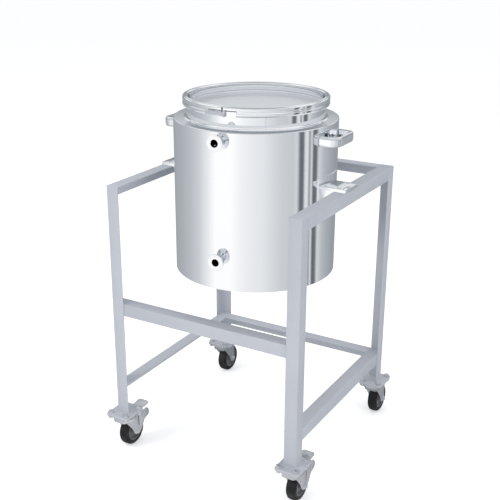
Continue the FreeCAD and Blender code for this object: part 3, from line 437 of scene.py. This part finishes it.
RAIL_TOP, FLANGE_MIDDLE = 0.900, 0.8985
FLANGE_END = 0.285
BOLT_OUT, BOLT_ALONG = 0.296, 0.030
for side, name in ((1, "right"), (-1, "left")):
    rail = block("top_rail_bar_" + name, (0.305, 0, FLANGE_MIDDLE), (0.040, 0.650, 0.003))
    for cut_at, cut_way in (((LAPPED, 0, 0), (1, 0, 0)), ((0, FLANGE_END, 0), (0, 1, 0)),
                            ((0, -FLANGE_END, 0), (0, 1, 0))):
        bpy.ops.mesh.select_all(action="SELECT")
        bpy.ops.mesh.bisect(plane_co=cut_at, plane_no=cut_way)
    pick(rail, "faces", lambda face: face.normal.z < -0.9
         and face.calc_center_median().x > LAPPED
         and abs(face.calc_center_median().y) < FLANGE_END)
    push((0, 0, -0.037))
    round_edges(rail, 0.004, 5, lambda edge: runs_along(edge, 1)
                and abs(middle(edge).x - LAPPED) < NEAR
                and abs(middle(edge).z - 0.897) < NEAR and abs(middle(edge).y) < FLANGE_END)
    bpy.ops.object.mode_set(mode="OBJECT")
    soften(rail, 0.0004)
    for step in (-1, 1):
        round_hole(rail, (BOLT_OUT, step * BOLT_ALONG, FLANGE_MIDDLE), 0.0055, 0.02)
    set_down(rail, (0, STAND_Y, 0), (side, 0, 0), (0, side, 0))
    done(rail, "stand", bar_steel, ["top_side_rails"])
top_back = angle_bar("top_rail_bar_back", 0.570)
set_down(top_back, (-FLANGE_END, HALF_FRAME + STAND_Y, RAIL_TOP), (0, -1, 0), (0, 0, -1))
done(top_back, "stand", bar_steel, ["top_rail_back"])


# Foot plates: 80 x 94 mm plates of 6 mm stainless steel with rounded corners, one welded under
# each leg. The casters are bolted to them.
def plate(name, width, depth, wall, corner, place=(0, 0, 0)):
    """A level plate with rounded corners that stands on the given place."""
    piece = block(name, (0, 0, wall / 2), (width, depth, wall))
    round_edges(piece, corner, 6, lambda edge: runs_along(edge, 2))
    bpy.ops.object.mode_set(mode="OBJECT")
    soften(piece, 0.0004)
    return set_down(piece, place)


def corner_place(x_side, y_side, height, behind=0.0):
    """A point on the upright middle line of a corner's foot, or some way behind it."""
    inset = 0.310
    return x_side * inset, y_side * inset + STAND_Y + behind, height


CORNERS = (("front_left", "fl", -1, -1), ("front_right", "fr", 1, -1),
           ("back_left", "bl", -1, 1), ("back_right", "br", 1, 1))
for name, mark, x_side, y_side in CORNERS:
    foot = plate("foot_plate_" + name, 0.080, 0.094, 0.006, 0.005,
                 corner_place(x_side, y_side, 0.130))
    done(foot, "stand", bar_steel, ["foot_plates"])


# Welds of the stand: beads round the legs' feet and beside the rails' ends, brushed and
# pickled, so they are a shade duller than the bars.
weld_steel = metal("weld_bead", (0.60, 0.62, 0.66), 0.34, 0.50, 350,
                   bump=0.00016, mottle=0.10, patch=90, bare=0.6)


def joined(pieces, name):
    """Makes one object of several."""
    only(pieces[0])
    for piece in pieces[1:]:
        piece.select_set(True)
    bpy.ops.object.join()
    pieces[0].name = name
    return pieces[0]


def pen_line(name, path):
    """Draws a chain of edges through the points and stays in edit mode."""
    bpy.ops.mesh.primitive_plane_add(size=0.001)
    piece = started(name)
    bpy.ops.object.mode_set(mode="EDIT")
    bpy.context.tool_settings.mesh_select_mode = (True, False, False)
    bpy.ops.mesh.select_all(action="SELECT")
    bpy.ops.mesh.merge(type="CENTER")
    bpy.ops.transform.translate(value=path[0])
    for start, end in zip(path, path[1:]):
        push(end - start)
    return piece


def weld_line(name, path, radius):
    """Lays a bead along a chain of points in millimetres."""
    pen_line(name, [Vector(point) / 1000 for point in path])
    merge_points(NEAR)
    bpy.ops.object.mode_set(mode="OBJECT")
    bpy.ops.object.convert(target="CURVE")
    bead = bpy.context.active_object
    bead.data.bevel_depth = radius / 1000
    bead.data.bevel_resolution = 2
    bead.data.use_fill_caps = True
    bpy.ops.object.convert(target="MESH")
    return started(name)


middle_y = STAND_Y * 1000
on_foot = 136.4
for name, mark, x_side, y_side in CORNERS:
    beads = []
    for out, start in ((325.6, 286), (321.4, 287)):
        beads.append(weld_line("bead", [
            (x_side * start, y_side * out + middle_y, on_foot),
            (x_side * (out - 2), y_side * out + middle_y, on_foot),
            (x_side * out, y_side * (out - 2) + middle_y, on_foot),
            (x_side * out, y_side * start + middle_y, on_foot)], 1.7))
    done(joined(beads, "foot_weld_" + name), "stand", weld_steel)
beads = []
for x_side in (-1, 1):
    for x, y, low in ((284.4, -322.2, 487), (284.4, 322.2, 209),
                      (322.2, -284.4, 209), (322.2, 284.4, 209)):
        beads.append(weld_line("bead", [(x_side * x, y + middle_y, low),
                                        (x_side * x, y + middle_y, low + 34)], 1.3))
done(joined(beads, "rail_welds"), "stand", weld_steel)


# Caster bolts: four M8 bolts through each pair of plates, with broad washers and hexagon heads
# above, and washers, nuts and bolt ends below. Zinc plated.
zinc = metal("zinc_plate", (0.57, 0.58, 0.61), 0.24, 0.36, 260,
             bump=0.000003, mottle=0.09, patch=45, bare=0.95)


def stub(name, sides, radius, low, high, chamfer=0.0):
    """A round or six-sided block on the Z axis with its upper edge chamfered."""
    bpy.ops.mesh.primitive_cylinder_add(vertices=sides, radius=radius, depth=high - low,
                                        location=(0, 0, (low + high) / 2))
    piece = started(name)
    bpy.ops.object.transform_apply(location=True, rotation=True, scale=True)
    if chamfer:
        bpy.ops.object.mode_set(mode="EDIT")
        round_edges(piece, chamfer, 2, lambda edge: abs(middle(edge).z - high) < NEAR
                    and not runs_along(edge, 2))
        bpy.ops.object.mode_set(mode="OBJECT")
    return piece


def hexagon_bolt(name):
    """Head and washer stand on z = 0; the nut hangs 9 mm lower, under both plates."""
    parts = [stub("washer", 32, 0.0098, 0, 0.0016, 0.0003),
             stub("head", 6, 0.0092, 0.0016, 0.0080, 0.0011),
             stub("end", 24, 0.0040, -0.0172, -0.0085),
             stub("low_washer", 32, 0.0098, -0.0104, -0.0090),
             stub("nut", 6, 0.0092, -0.0164, -0.0104, 0.0006)]
    return joined(parts, name)


def facing(angle):
    """The X and Y ways of a piece that is turned about the Z axis by some degrees."""
    a = math.radians(angle)
    return (math.cos(a), math.sin(a), 0), (-math.sin(a), math.cos(a), 0)


pattern = hexagon_bolt("bolt_pattern")
for name, mark, x_side, y_side in CORNERS:
    x, y, top = corner_place(x_side, y_side, LEG_FOOT)
    bolts = []
    for across in (-0.029, 0.029):
        for along in (-0.036, 0.036):
            bolt = twin(pattern, "bolt")
            tightened = 17 + 41 * len(bolts) + 23 * x_side
            set_down(bolt, (x + across, y + along, top), *facing(tightened))
            bolts.append(bolt)
    caster_bolts = joined(bolts, "caster_bolts_" + name)
    soften(caster_bolts, 0.0002, 1, 25)
    done(caster_bolts, "stand", zinc)
bpy.data.objects.remove(pattern, do_unlink=True)


# Caster plates: pressed steel plates under the foot plates, each with its swivel race and the
# riveted king pin that the fork hangs on. Zinc plated.
def rounded(corners, segments=6):
    """An outline whose corners (x, z, radius) are drawn as arcs."""
    points = []
    count = len(corners)
    for index, corner in enumerate(corners):
        here = Vector(corner[:2])
        radius = corner[2] if len(corner) > 2 else 0
        before = Vector(corners[index - 1][:2]) - here
        after = Vector(corners[(index + 1) % count][:2]) - here
        if radius == 0:
            points.append(tuple(here))
            continue
        before.normalize()
        after.normalize()
        half = before.angle(after) / 2
        reach = radius / math.tan(half)
        centre = here + (before + after).normalized() * (radius / math.sin(half))
        start = here + before * reach - centre
        end = here + after * reach - centre
        swing = start.angle_signed(end)
        for step in range(segments + 1):
            a = -swing * step / segments
            points.append((centre.x + start.x * math.cos(a) - start.y * math.sin(a),
                           centre.y + start.x * math.sin(a) + start.y * math.cos(a)))
    return points


def cap_ends(piece):
    """In edit mode, fills the open ends of a piece."""
    pick(piece, "edges", lambda edge: len(edge.link_faces) == 1)
    bpy.ops.mesh.edge_face_add()


def turned(name, corners, steps, sweep=360, from_angle=0, segments=6):
    """Draws an outline of corners (x, z, radius) in the XZ plane, in millimetres, and turns it
    about the Z axis."""
    points = rounded(corners, segments)
    piece = pen_line(name, [Vector((x / 1000, 0, z / 1000)) for x, z in points + points[:1]])
    merge_points(1e-7)
    bpy.ops.mesh.spin(steps=steps, angle=math.radians(-sweep), center=(0, 0, 0), axis=(0, 0, 1))
    merge_points(NEAR)
    if sweep < 360:
        cap_ends(piece)
    face_outwards()
    bpy.ops.object.mode_set(mode="OBJECT")
    if from_angle:
        set_down(piece, (0, 0, 0), *facing(from_angle))
    return piece


for name, mark, x_side, y_side in CORNERS:
    place = corner_place(x_side, y_side, 0.127)
    top_plate = plate("caster_plate_" + name, 0.080, 0.094, 0.003, 0.007, place)
    race = turned("race_" + name, [
        (0.5, 0), (0.5, -15), (5, -16.3, 2), (9.5, -15.6, 2), (9.8, -11.6, 0.6), (6, -11.6),
        (6, -8), (23.5, -8, 1), (28, -3.5, 3), (28.6, 0)], 64)
    set_down(race, place)
    done(joined([top_plate, race], "caster_plate_" + name), "stand", zinc,
         ["caster_plates"])


# Forks: pressed from 3 mm steel sheet and zinc plated. A round skirted crown turns under the
# race, an apron closes the front, and two cheeks taper down and back to the axle.
def slab(name, outline, low, high):
    """Fills an outline of (y, z) points in millimetres and gives it thickness along X."""
    piece = pen_line(name, [Vector((low / 1000, y / 1000, z / 1000)) for y, z in outline])
    bpy.ops.mesh.select_all(action="SELECT")
    bpy.ops.mesh.edge_face_add()
    bpy.ops.mesh.select_all(action="SELECT")
    push(((high - low) / 1000, 0, 0))
    face_outwards()
    bpy.ops.object.mode_set(mode="OBJECT")
    return piece


AXLE_HEIGHT = 0.050
TRAIL = 0.030
fork_outline = [(-40, 130), (-40, 105.5), (-26, 104.8), (-18.5, 98.4), (-2.3, 79.5), (8, 67)]
for step in range(14):
    around = math.radians(-162 + 162 * step / 13)
    fork_outline.append((29 + 10.5 * math.cos(around), 49 + 10.5 * math.sin(around)))
fork_outline += [(39.5, 112), (36, 130)]
pressed = block("fork_blank", (0, 0.006, 0.0657), (0.047, 0.072, 0.106))
round_edges(pressed, 0.006, 5, lambda edge: runs_along(edge, 1) and middle(edge).z > 0.1)
pick(pressed, "faces", lambda face: abs(face.normal.y) > 0.9 or face.normal.z < -0.9)
bpy.ops.mesh.delete(type="FACE")
bpy.ops.object.mode_set(mode="OBJECT")
sheet = pressed.modifiers.new("sheet", "SOLIDIFY")
sheet.thickness = 0.003
sheet.offset = -1
only(pressed)
bpy.ops.object.modifier_apply(modifier="sheet")
combine(pressed, slab("fork_outline", fork_outline, -40, 40), "INTERSECT")
crown = turned("crown", [
    (6.2, 118.7), (6.2, 115.7), (32.2, 115.7, 2), (33, 106.7), (36, 106.7), (36, 118.7, 5)], 72)
combine(pressed, crown, "UNION")
round_hole(pressed, (0, TRAIL, AXLE_HEIGHT), 0.005, 0.2, (1, 0, 0))
round_hole(pressed, (0, 0, 0.117), 0.00605, 0.02)
apron = block("apron", (0, -0.0273, 0.1119), (0.0468, 0.0166, 0.0132))
round_edges(apron, 0.009, 6, lambda edge: runs_along(edge, 2) and middle(edge).y < -0.03)
pick(apron, "faces", lambda face: face.normal.z < -0.9 or face.normal.y > 0.9)
bpy.ops.mesh.delete(type="FACE")
bpy.ops.mesh.select_all(action="SELECT")
bpy.ops.mesh.solidify(thickness=0.0026)
bpy.ops.object.mode_set(mode="OBJECT")
pressed = joined([pressed, apron], "fork_blank")
soften(pressed, 0.0005, 2, 40)
for name, mark, x_side, y_side in CORNERS:
    fork = twin(pressed, "pressed_fork_" + name)
    set_down(fork, corner_place(x_side, y_side, 0))
    done(fork, "caster_" + mark, zinc, ["fork_" + name])
bpy.data.objects.remove(pressed, do_unlink=True)


# Axles: M10 bolts through the fork's cheeks and the wheel, with a washer and hexagon head on
# one side and a washer and nut on the other. Zinc plated.
for name, mark, x_side, y_side in CORNERS:
    grip = 26.0 if name.startswith("front") else 23.5
    parts = [stub("shank", 32, 0.0050, -(grip + 6) / 1000, (grip + 7) / 1000, 0.0006)]
    for way in (-1, 1):
        washer = stub("washer", 40, 0.0098, grip / 1000, (grip + 1.2) / 1000, 0.0003)
        nut = stub("nut", 6, 0.0085, (grip + 1.2) / 1000, (grip + 5.2) / 1000, 0.0008)
        for part in (washer, nut):
            set_down(part, (0, 0, 0), (1, 0, 0), (0, way, 0))
            parts.append(part)
    axle = joined(parts, "axle_bolt_" + name)
    soften(axle, 0.0002, 1, 25)
    set_down(axle, corner_place(x_side, y_side, AXLE_HEIGHT, TRAIL), (0, 0, -1), (0, 1, 0))
    done(axle, "caster_" + mark, zinc, ["axle_" + name])


# Wheels: black rubber tyres 100 mm across, moulded on dished grey plastic hubs that turn on the
# axle. The tread is slightly crowned, and a little dust lies on the rubber.
def moulded(name, colour, gloss, grain, bump, dust):
    """Rubber or plastic with a fine moulded skin and a little dust."""
    coat = bpy.data.materials.new(name)
    coat.use_nodes = True
    nodes, links = coat.node_tree.nodes, coat.node_tree.links
    shader = nodes["Principled BSDF"]
    shader.inputs["Roughness"].default_value = gloss
    shader.inputs["Specular IOR Level"].default_value = 0.25
    where = nodes.new("ShaderNodeTexCoord")
    fine = noise(nodes, links, where.outputs["Object"], grain, 3)
    cloud = noise(nodes, links, where.outputs["Object"], 38, 5)
    amount = nodes.new("ShaderNodeMapRange")
    amount.inputs["From Min"].default_value = 0.45
    amount.inputs["From Max"].default_value = 0.75
    amount.inputs["To Max"].default_value = dust
    links.new(cloud.outputs["Fac"], amount.inputs["Value"])
    tone = nodes.new("ShaderNodeMix")
    tone.data_type = "RGBA"
    tone.inputs["A"].default_value = tuple(colour) + (1,)
    tone.inputs["B"].default_value = (0.35, 0.34, 0.32, 1)
    links.new(amount.outputs["Result"], tone.inputs["Factor"])
    links.new(tone.outputs["Result"], shader.inputs["Base Color"])
    raise_skin(nodes, links, shader, fine, bump)
    return coat


rubber = moulded("black_tyre_rubber", (0.012, 0.012, 0.014), 0.62, 900, 0.00005, 0.09)
hub_plastic = moulded("grey_hub_plastic", (0.13, 0.13, 0.14), 0.45, 700, 0.00003, 0.10)
for name, mark, x_side, y_side in CORNERS:
    place = corner_place(x_side, y_side, AXLE_HEIGHT, TRAIL)
    tyre = turned("rubber_tyre_" + name, [
        (34, -15.2), (36, -16, 0.5), (44, -16, 3), (49.2, -11, 4), (50, 0, 30), (49.2, 11, 4),
        (44, 16, 3), (36, 16, 0.5), (34, 15.2)], 96)
    set_down(tyre, place, (0, 0, -1), (0, 1, 0))
    done(tyre, "wheel_" + mark, rubber, ["tyre_" + name])
    hub = turned("hub_" + name, [
        (5.05, -20.2), (11, -20.2, 1), (12, -9, 2), (14, -5, 2), (29.5, -5, 1.5), (30.5, -15, 1),
        (34, -15.4, 0.4), (34, 15.4, 0.4), (30.5, 15, 1), (29.5, 5, 1.5), (14, 5, 2), (12, 9, 2),
        (11, 20.2, 1), (5.05, 20.2)], 72)
    set_down(hub, place, (0, 0, -1), (0, 1, 0))
    done(hub, "wheel_" + mark, hub_plastic, ["hub_" + name])


# Brake brackets on the two front casters: two pressed cheeks behind the fork, joined by a web
# and held by the axle bolt. Zinc plated.
BRAKE_PIN = (0, 0.065, 0.104)
cheek_outline = rounded([(25.5, 57, 4), (21, 49, 7), (29, 39, 9), (46, 41, 12), (60, 60, 26),
                         (69, 76, 16), (95, 84, 8), (95, 102, 8), (84, 113, 5), (43, 113, 2),
                         (43, 66, 8)])
bracket_parts = [slab("web", [(43, 104), (45.5, 104), (45.5, 113), (43, 113)], -23.6, 23.6)]
for low, high in ((23.5, 26.0), (-26.0, -23.5)):
    cheek = slab("cheek", cheek_outline, low, high)
    round_hole(cheek, (0, TRAIL, AXLE_HEIGHT), 0.005, 0.2, (1, 0, 0))
    round_hole(cheek, BRAKE_PIN, 0.0031, 0.2, (1, 0, 0))
    bracket_parts.append(cheek)
brake_blank = joined(bracket_parts, "brake_blank")
soften(brake_blank, 0.0005, 2, 40)
for name, mark, x_side, y_side in CORNERS[:2]:
    bracket = twin(brake_blank, "brake_cheeks_" + name)
    set_down(bracket, corner_place(x_side, y_side, 0))
    done(bracket, "caster_" + mark, zinc, ["brake_bracket_" + name])
bpy.data.objects.remove(brake_blank, do_unlink=True)


# Brake pedals: a shoe on one pivot pin and a smooth rounded tread plate above it, raised clear
# of the tyre. Zinc plated.
pedal_arm = slab("arm", rounded([(62.8, 95.1), (70.1, 88.8), (73, 92, 3), (74, 108, 4), (79, 119),
                                 (69, 117), (58, 107, 3), (58, 98, 3)], 4), -15, 15)
tread = plate("tread", 0.042, 0.037, 0.003, 0.009)
tilt = math.atan2(4, 30)
set_down(tread, (0, 0.0885, 0.1180), (1, 0, 0), (0, math.cos(tilt), math.sin(tilt)))
pivot = stub("pivot", 32, 0.0030, -0.0272, 0.0272)
set_down(pivot, BRAKE_PIN, (0, 0, -1), (0, 1, 0))
pedal_blank = joined([pedal_arm, tread, pivot], "pedal_blank")
soften(pedal_blank, 0.0004, 2, 40)
for name, mark, x_side, y_side in CORNERS[:2]:
    pedal = twin(pedal_blank, "pedal_" + name)
    set_down(pedal, corner_place(x_side, y_side, 0))
    done(pedal, "brake_" + mark, zinc, ["brake_pedal_" + name])
bpy.data.objects.remove(pedal_blank, do_unlink=True)


# Jacket: stainless sheet rolled to 500 mm and polished to a mirror, closed above by a welded
# shoulder ring and below by a flat bottom. Two ports let the nozzles in.
def at(radius, angle, height):
    """A point on a circle round the Z axis, by its angle in degrees from +X."""
    a = math.radians(angle)
    return radius * math.cos(a), radius * math.sin(a), height


VESSEL = (0, STAND_Y, 0.611)
PORT_ANGLE = -85
PORTS = ((0.448, "upper"), (0.095, "lower"))
mirror_steel = metal("mirror_polished_steel", (0.92, 0.93, 0.95), 0.04, 0.08, 30,
                     bump=0.00004, mottle=0.02, patch=2, stretch=(1, 1, 4))
jacket = turned("jacket_sheet", [
    (248, 0), (250, 0, 1), (250, 475, 2.5), (245, 475), (245, 473), (248, 473)], 256)
for height, name in PORTS:
    round_hole(jacket, at(0.25, PORT_ANGLE, height), 0.0128, 0.1, at(1, PORT_ANGLE, 0))
set_down(jacket, VESSEL)
done(jacket, "vessel", mirror_steel, ["jacket_shell"])
shoulder = turned("shoulder_ring", [
    (210.2, 472), (246, 472), (246, 475.2), (218, 475.6, 2), (212, 477.5, 3), (210.2, 480.5)], 256)
set_down(shoulder, VESSEL)
done(shoulder, "vessel", mirror_steel, ["jacket_shoulder"])
bottom = turned("jacket_floor", [(0.01, 0.2), (247.9, 0.2), (247.9, 2), (0.01, 2)], 192)
set_down(bottom, VESSEL)
done(bottom, "vessel", mirror_steel, ["jacket_bottom"])


# Inner vessel: a 420 mm pot of 2 mm stainless sheet with a flat rim flange, polished. Its neck
# shows above the jacket's shoulder.
pot = turned("inner_pot", [
    (0.01, 40), (210, 40, 20), (210, 514, 1.5), (215.7, 514, 0.6), (215.7, 517, 0.6), (208, 517, 1),
    (208, 42, 18), (0.01, 42)], 256)
set_down(pot, VESSEL)
done(pot, "vessel", mirror_steel, ["inner_vessel"])


# Seams: the upright butt welds of the neck, at the front right, and of the jacket, at the back.
# They are ground nearly flush and brushed.
seams = []
for radius, low, high, angle in ((210.0, 482, 511.5, -53), (250.0, 3, 472, 97)):
    seams.append(weld_line("seam", [at(radius, angle, low), at(radius, angle, high)], 0.55))
seam = joined(seams, "upright_seams")
set_down(seam, VESSEL)
done(seam, "vessel", weld_steel)


# Gasket: a flat ring of pale rubber, moulded in one piece. It lies between the rim and the lid,
# inside the clamp band.
gasket_rubber = moulded("pale_gasket_rubber", (0.80, 0.80, 0.77), 0.5, 600, 0.00003, 0.05)
gasket = turned("gasket_ring", [
    (209, 517), (215.7, 517, 1.2), (215.7, 520, 1.2), (209, 520)], 192)
set_down(gasket, VESSEL)
done(gasket, "vessel", gasket_rubber, ["lid_gasket"])


# Lid: one spun disc with a sunk panel and a rolled hollow rim that stands on the gasket. Two
# round beads are rolled into the rim's inner wall. The panel keeps the satin grey finish of
# the sheet, and the rim is polished.
satin_steel = metal("satin_steel", (0.75, 0.77, 0.80), 0.50, 0.60, 500,
                    bump=0.00003, mottle=0.03, patch=6, bare=0.3)
lid_panel = turned("lid_panel", [(0.01, 499), (203.2, 499), (203.2, 501), (0.01, 501)], 192)
set_down(lid_panel, VESSEL)
done(lid_panel, "vessel", satin_steel, ["lid"])
lid_rim = turned("lid_rim", [
    (202.6, 499), (205, 499, 2.5), (205, 532.75), (205.4, 538.5, 3), (209.25, 539, 3),
    (213.4, 538, 3), (213.5, 534.75), (213.5, 520), (215.5, 520), (215.5, 541, 6), (203, 541, 6),
    (203, 530), (201.6, 527.5, 1.2), (203, 525), (203, 514.5), (201.6, 512, 1.2), (203, 509.5),
    (203, 501.2), (202.6, 501.2)], 256)
set_down(lid_rim, VESSEL)
done(lid_rim, "vessel", mirror_steel, ["lid"])


# Clamp band: a split ring rolled with two round beads and a groove between them, which hooks
# over the lid's shoulder and under the rim. Polished.
band = turned("rolled_band", [
    (212, 512.5), (219, 512.5, 3), (221.3, 517, 4), (221.3, 522, 4), (219.6, 525.3, 1.2),
    (219.6, 527.7, 1.2), (221.3, 531, 4), (221.3, 537, 4), (218.5, 540.3, 3), (214.25, 540.3),
    (214.25, 538.8), (217.5, 538.6, 2), (219.6, 535.5, 3), (219.6, 531, 3), (218.1, 528, 1),
    (218.1, 525, 1), (219.6, 522, 3), (219.6, 517.5, 3), (217.5, 514, 2), (212, 514)],
    256, 358.6, -85.4, 5)
set_down(band, VESSEL)
done(band, "vessel", mirror_steel, ["clamp_band"])


# Nozzles: two short stainless pipes with round clamp ferrules, the upper one high on the
# jacket and the lower one near its foot, welded into the sheet.
outward, sideways = facing(PORT_ANGLE)
WELD_CIRCLE = 250.3
for height, name in PORTS:
    nozzle = turned("ferrule_" + name, [
        (11.5, 246), (13, 246), (13, 272, 2.5), (25.25, 276.6, 0.6), (25.25, 280, 0.8),
        (23.2, 280, 0.2), (22.6, 278.8, 0.4), (19.9, 278.8, 0.4), (19.3, 280, 0.2),
        (11.5, 280, 0.5)], 96)
    set_down(nozzle, (VESSEL[0], VESSEL[1], VESSEL[2] + height), sideways, (0, 0, 1))
    done(nozzle, "vessel", mirror_steel, ["nozzles"])
    ring = []
    for step in range(37):
        around = math.radians(10 * step)
        across, up = 13.9 * math.cos(around), 13.9 * math.sin(around)
        deep = math.sqrt(WELD_CIRCLE ** 2 - across ** 2)
        ring.append((deep * outward[0] + across * sideways[0],
                     deep * outward[1] + across * sideways[1], 1000 * height + up))
    bead = weld_line("nozzle_weld_" + name, ring, 1.5)
    set_down(bead, VESSEL)
    done(bead, "vessel", weld_steel)


# Handles: wide strips of polished stainless, pressed hollow with a full outer face and curled
# edges, bent to a loop in plan, and welded to the jacket all round.
handle_section = rounded([(-4.4, 13.2, 0.6), (-3.2, 14.5, 1.2), (1.6, 14.2, 3.2), (4.2, 8, 12),
                          (4.2, -8, 12), (1.6, -14.2, 3.2), (-3.2, -14.5, 1.2), (-4.4, -13.2, 0.6),
                          (-1.4, -11, 2), (-0.6, 0, 60), (-1.4, 11, 2)], 5)
leg_apart, leg_end, bend_x, bend_y = 60.5, 0.240, 0.272, 0.034
for side, name in ((1, "right"), (-1, "left")):
    handle = pen_line("handle_strip_" + name, [
        Vector((leg_end, (-leg_apart - out) / 1000, up / 1000))
        for out, up in handle_section + handle_section[:1]])
    merge_points(1e-7)
    for run, turn_y in (((0.032, 0, 0), -bend_y), ((0, 0.068, 0), bend_y)):
        push(run)
        bpy.ops.mesh.spin(steps=20, angle=math.radians(-90), center=(bend_x, turn_y, 0),
                          axis=(0, 0, 1))
    push((-0.032, 0, 0))
    merge_points(NEAR)
    cap_ends(handle)
    face_outwards()
    bpy.ops.object.mode_set(mode="OBJECT")
    beads = []
    for way in (-1, 1):
        foot = []
        for step in range(25):
            around = math.radians(15 * step)
            out, up = leg_apart + 5.6 * math.cos(around), 15.6 * math.sin(around)
            foot.append((math.sqrt(WELD_CIRCLE ** 2 - out ** 2), way * out, up))
        beads.append(weld_line("bead", foot, 1.5))
    bead = joined(beads, "handle_weld_" + name)
    for piece, coat, stands_for in ((handle, mirror_steel, ["handle_" + name]),
                                    (bead, weld_steel, ())):
        set_down(piece, (0, STAND_Y, VESSEL[2] + 0.437), (side, 0, 0), (0, side, 0))
        done(piece, "vessel", coat, stands_for)


# Brackets: a curved pad welded to the jacket carries a thick shelf with two bolt holes, and two
# gussets under it. The shelf lies on the stand's top rail. Polished.
for side, name in ((1, "right"), (-1, "left")):
    pad = turned("pad", [
        (250, 244, 1), (253, 244, 1), (253, 326, 1), (250, 326, 1)], 28, 28, -14, 2)
    shelf = block("shelf", (0.285, 0, 0.294), (0.078, 0.084, 0.010))
    round_edges(shelf, 0.006, 6, lambda edge: runs_along(edge, 2) and middle(edge).x > 0.3)
    bpy.ops.object.mode_set(mode="OBJECT")
    soften(shelf, 0.0006)
    for step in (-1, 1):
        round_hole(shelf, (BOLT_OUT, step * BOLT_ALONG, 0.294), 0.0055, 0.03)
    gussets = []
    for step in (-1, 1):
        gusset = slab("gusset", [(245, 289.2), (245, 246), (253, 246), (282, 285), (282, 289.2)],
                      -2.5, 2.5)
        set_down(gusset, (0, step * 0.034, 0), (0, -1, 0), (1, 0, 0))
        bpy.ops.object.mode_set(mode="EDIT")
        face_outwards()
        bpy.ops.object.mode_set(mode="OBJECT")
        soften(gusset, 0.0005)
        gussets.append(gusset)
    bracket = joined([shelf, pad] + gussets, "support_bracket_" + name)
    set_down(bracket, VESSEL, (side, 0, 0), (0, side, 0))
    done(bracket, "vessel", mirror_steel, ["bracket_" + name])


# Latch: a curved lever lies along the band and turns on a pin between the two ears of a small
# plate that is riveted to the band. The plate is polished and the lever brushed.
PIN_RADIUS, PIN_ANGLE = 0.228, -84
plate_arc = turned("latch_sheet", [(221, 513), (223, 513), (223, 528), (221, 528)],
                   12, 9, PIN_ANGLE)
hinge_parts = []
for low in (513, 526):
    ear = block("ear", (0.2268, 0, (low + 1) / 1000), (0.0114, 0.009, 0.002))
    round_edges(ear, 0.004, 5, lambda edge: runs_along(edge, 2) and middle(edge).x > 0.23)
    bpy.ops.object.mode_set(mode="OBJECT")
    hinge_parts.append(ear)
for part in (stub("pin", 32, 0.0020, 0.5124, 0.5286, 0.0004),
             stub("pin_head", 32, 0.0034, 0.528, 0.5294, 0.0006)):
    hinge_parts.append(set_down(part, (PIN_RADIUS, 0, 0)))
hinge = joined(hinge_parts, "ears")
set_down(hinge, (0, 0, 0), *facing(PIN_ANGLE))
rivets = []
for angle in (-80, -76):
    rivet = stub("rivet", 24, 0.0026, 0, 0.0014, 0.0008)
    set_down(rivet, at(0.223, angle, 0.5205), (0, 0, 1), facing(angle)[1])
    rivets.append(rivet)
latch_base = joined([plate_arc, hinge] + rivets, "latch_base")
soften(latch_base, 0.0002, 1, 35)
set_down(latch_base, VESSEL)
done(latch_base, "vessel", mirror_steel, ["latch_plate"])
strip = turned("latch_strip", [
    (223.5, 515.5, 0.8), (226.5, 515.5, 0.8), (226.5, 525.5, 0.8), (223.5, 525.5, 0.8)],
    24, 15.2, -100, 3)
eye = stub("eye", 40, 0.0045, 0.5155, 0.5255)
set_down(eye, at(PIN_RADIUS, PIN_ANGLE, 0))
lever = joined([strip, eye], "latch_lever_strip")
round_hole(lever, at(PIN_RADIUS, PIN_ANGLE, 0.52), 0.00205, 0.03)
soften(lever, 0.0002, 1, 35)
set_down(lever, VESSEL)
done(lever, "latch", weld_steel, ["latch_lever"])
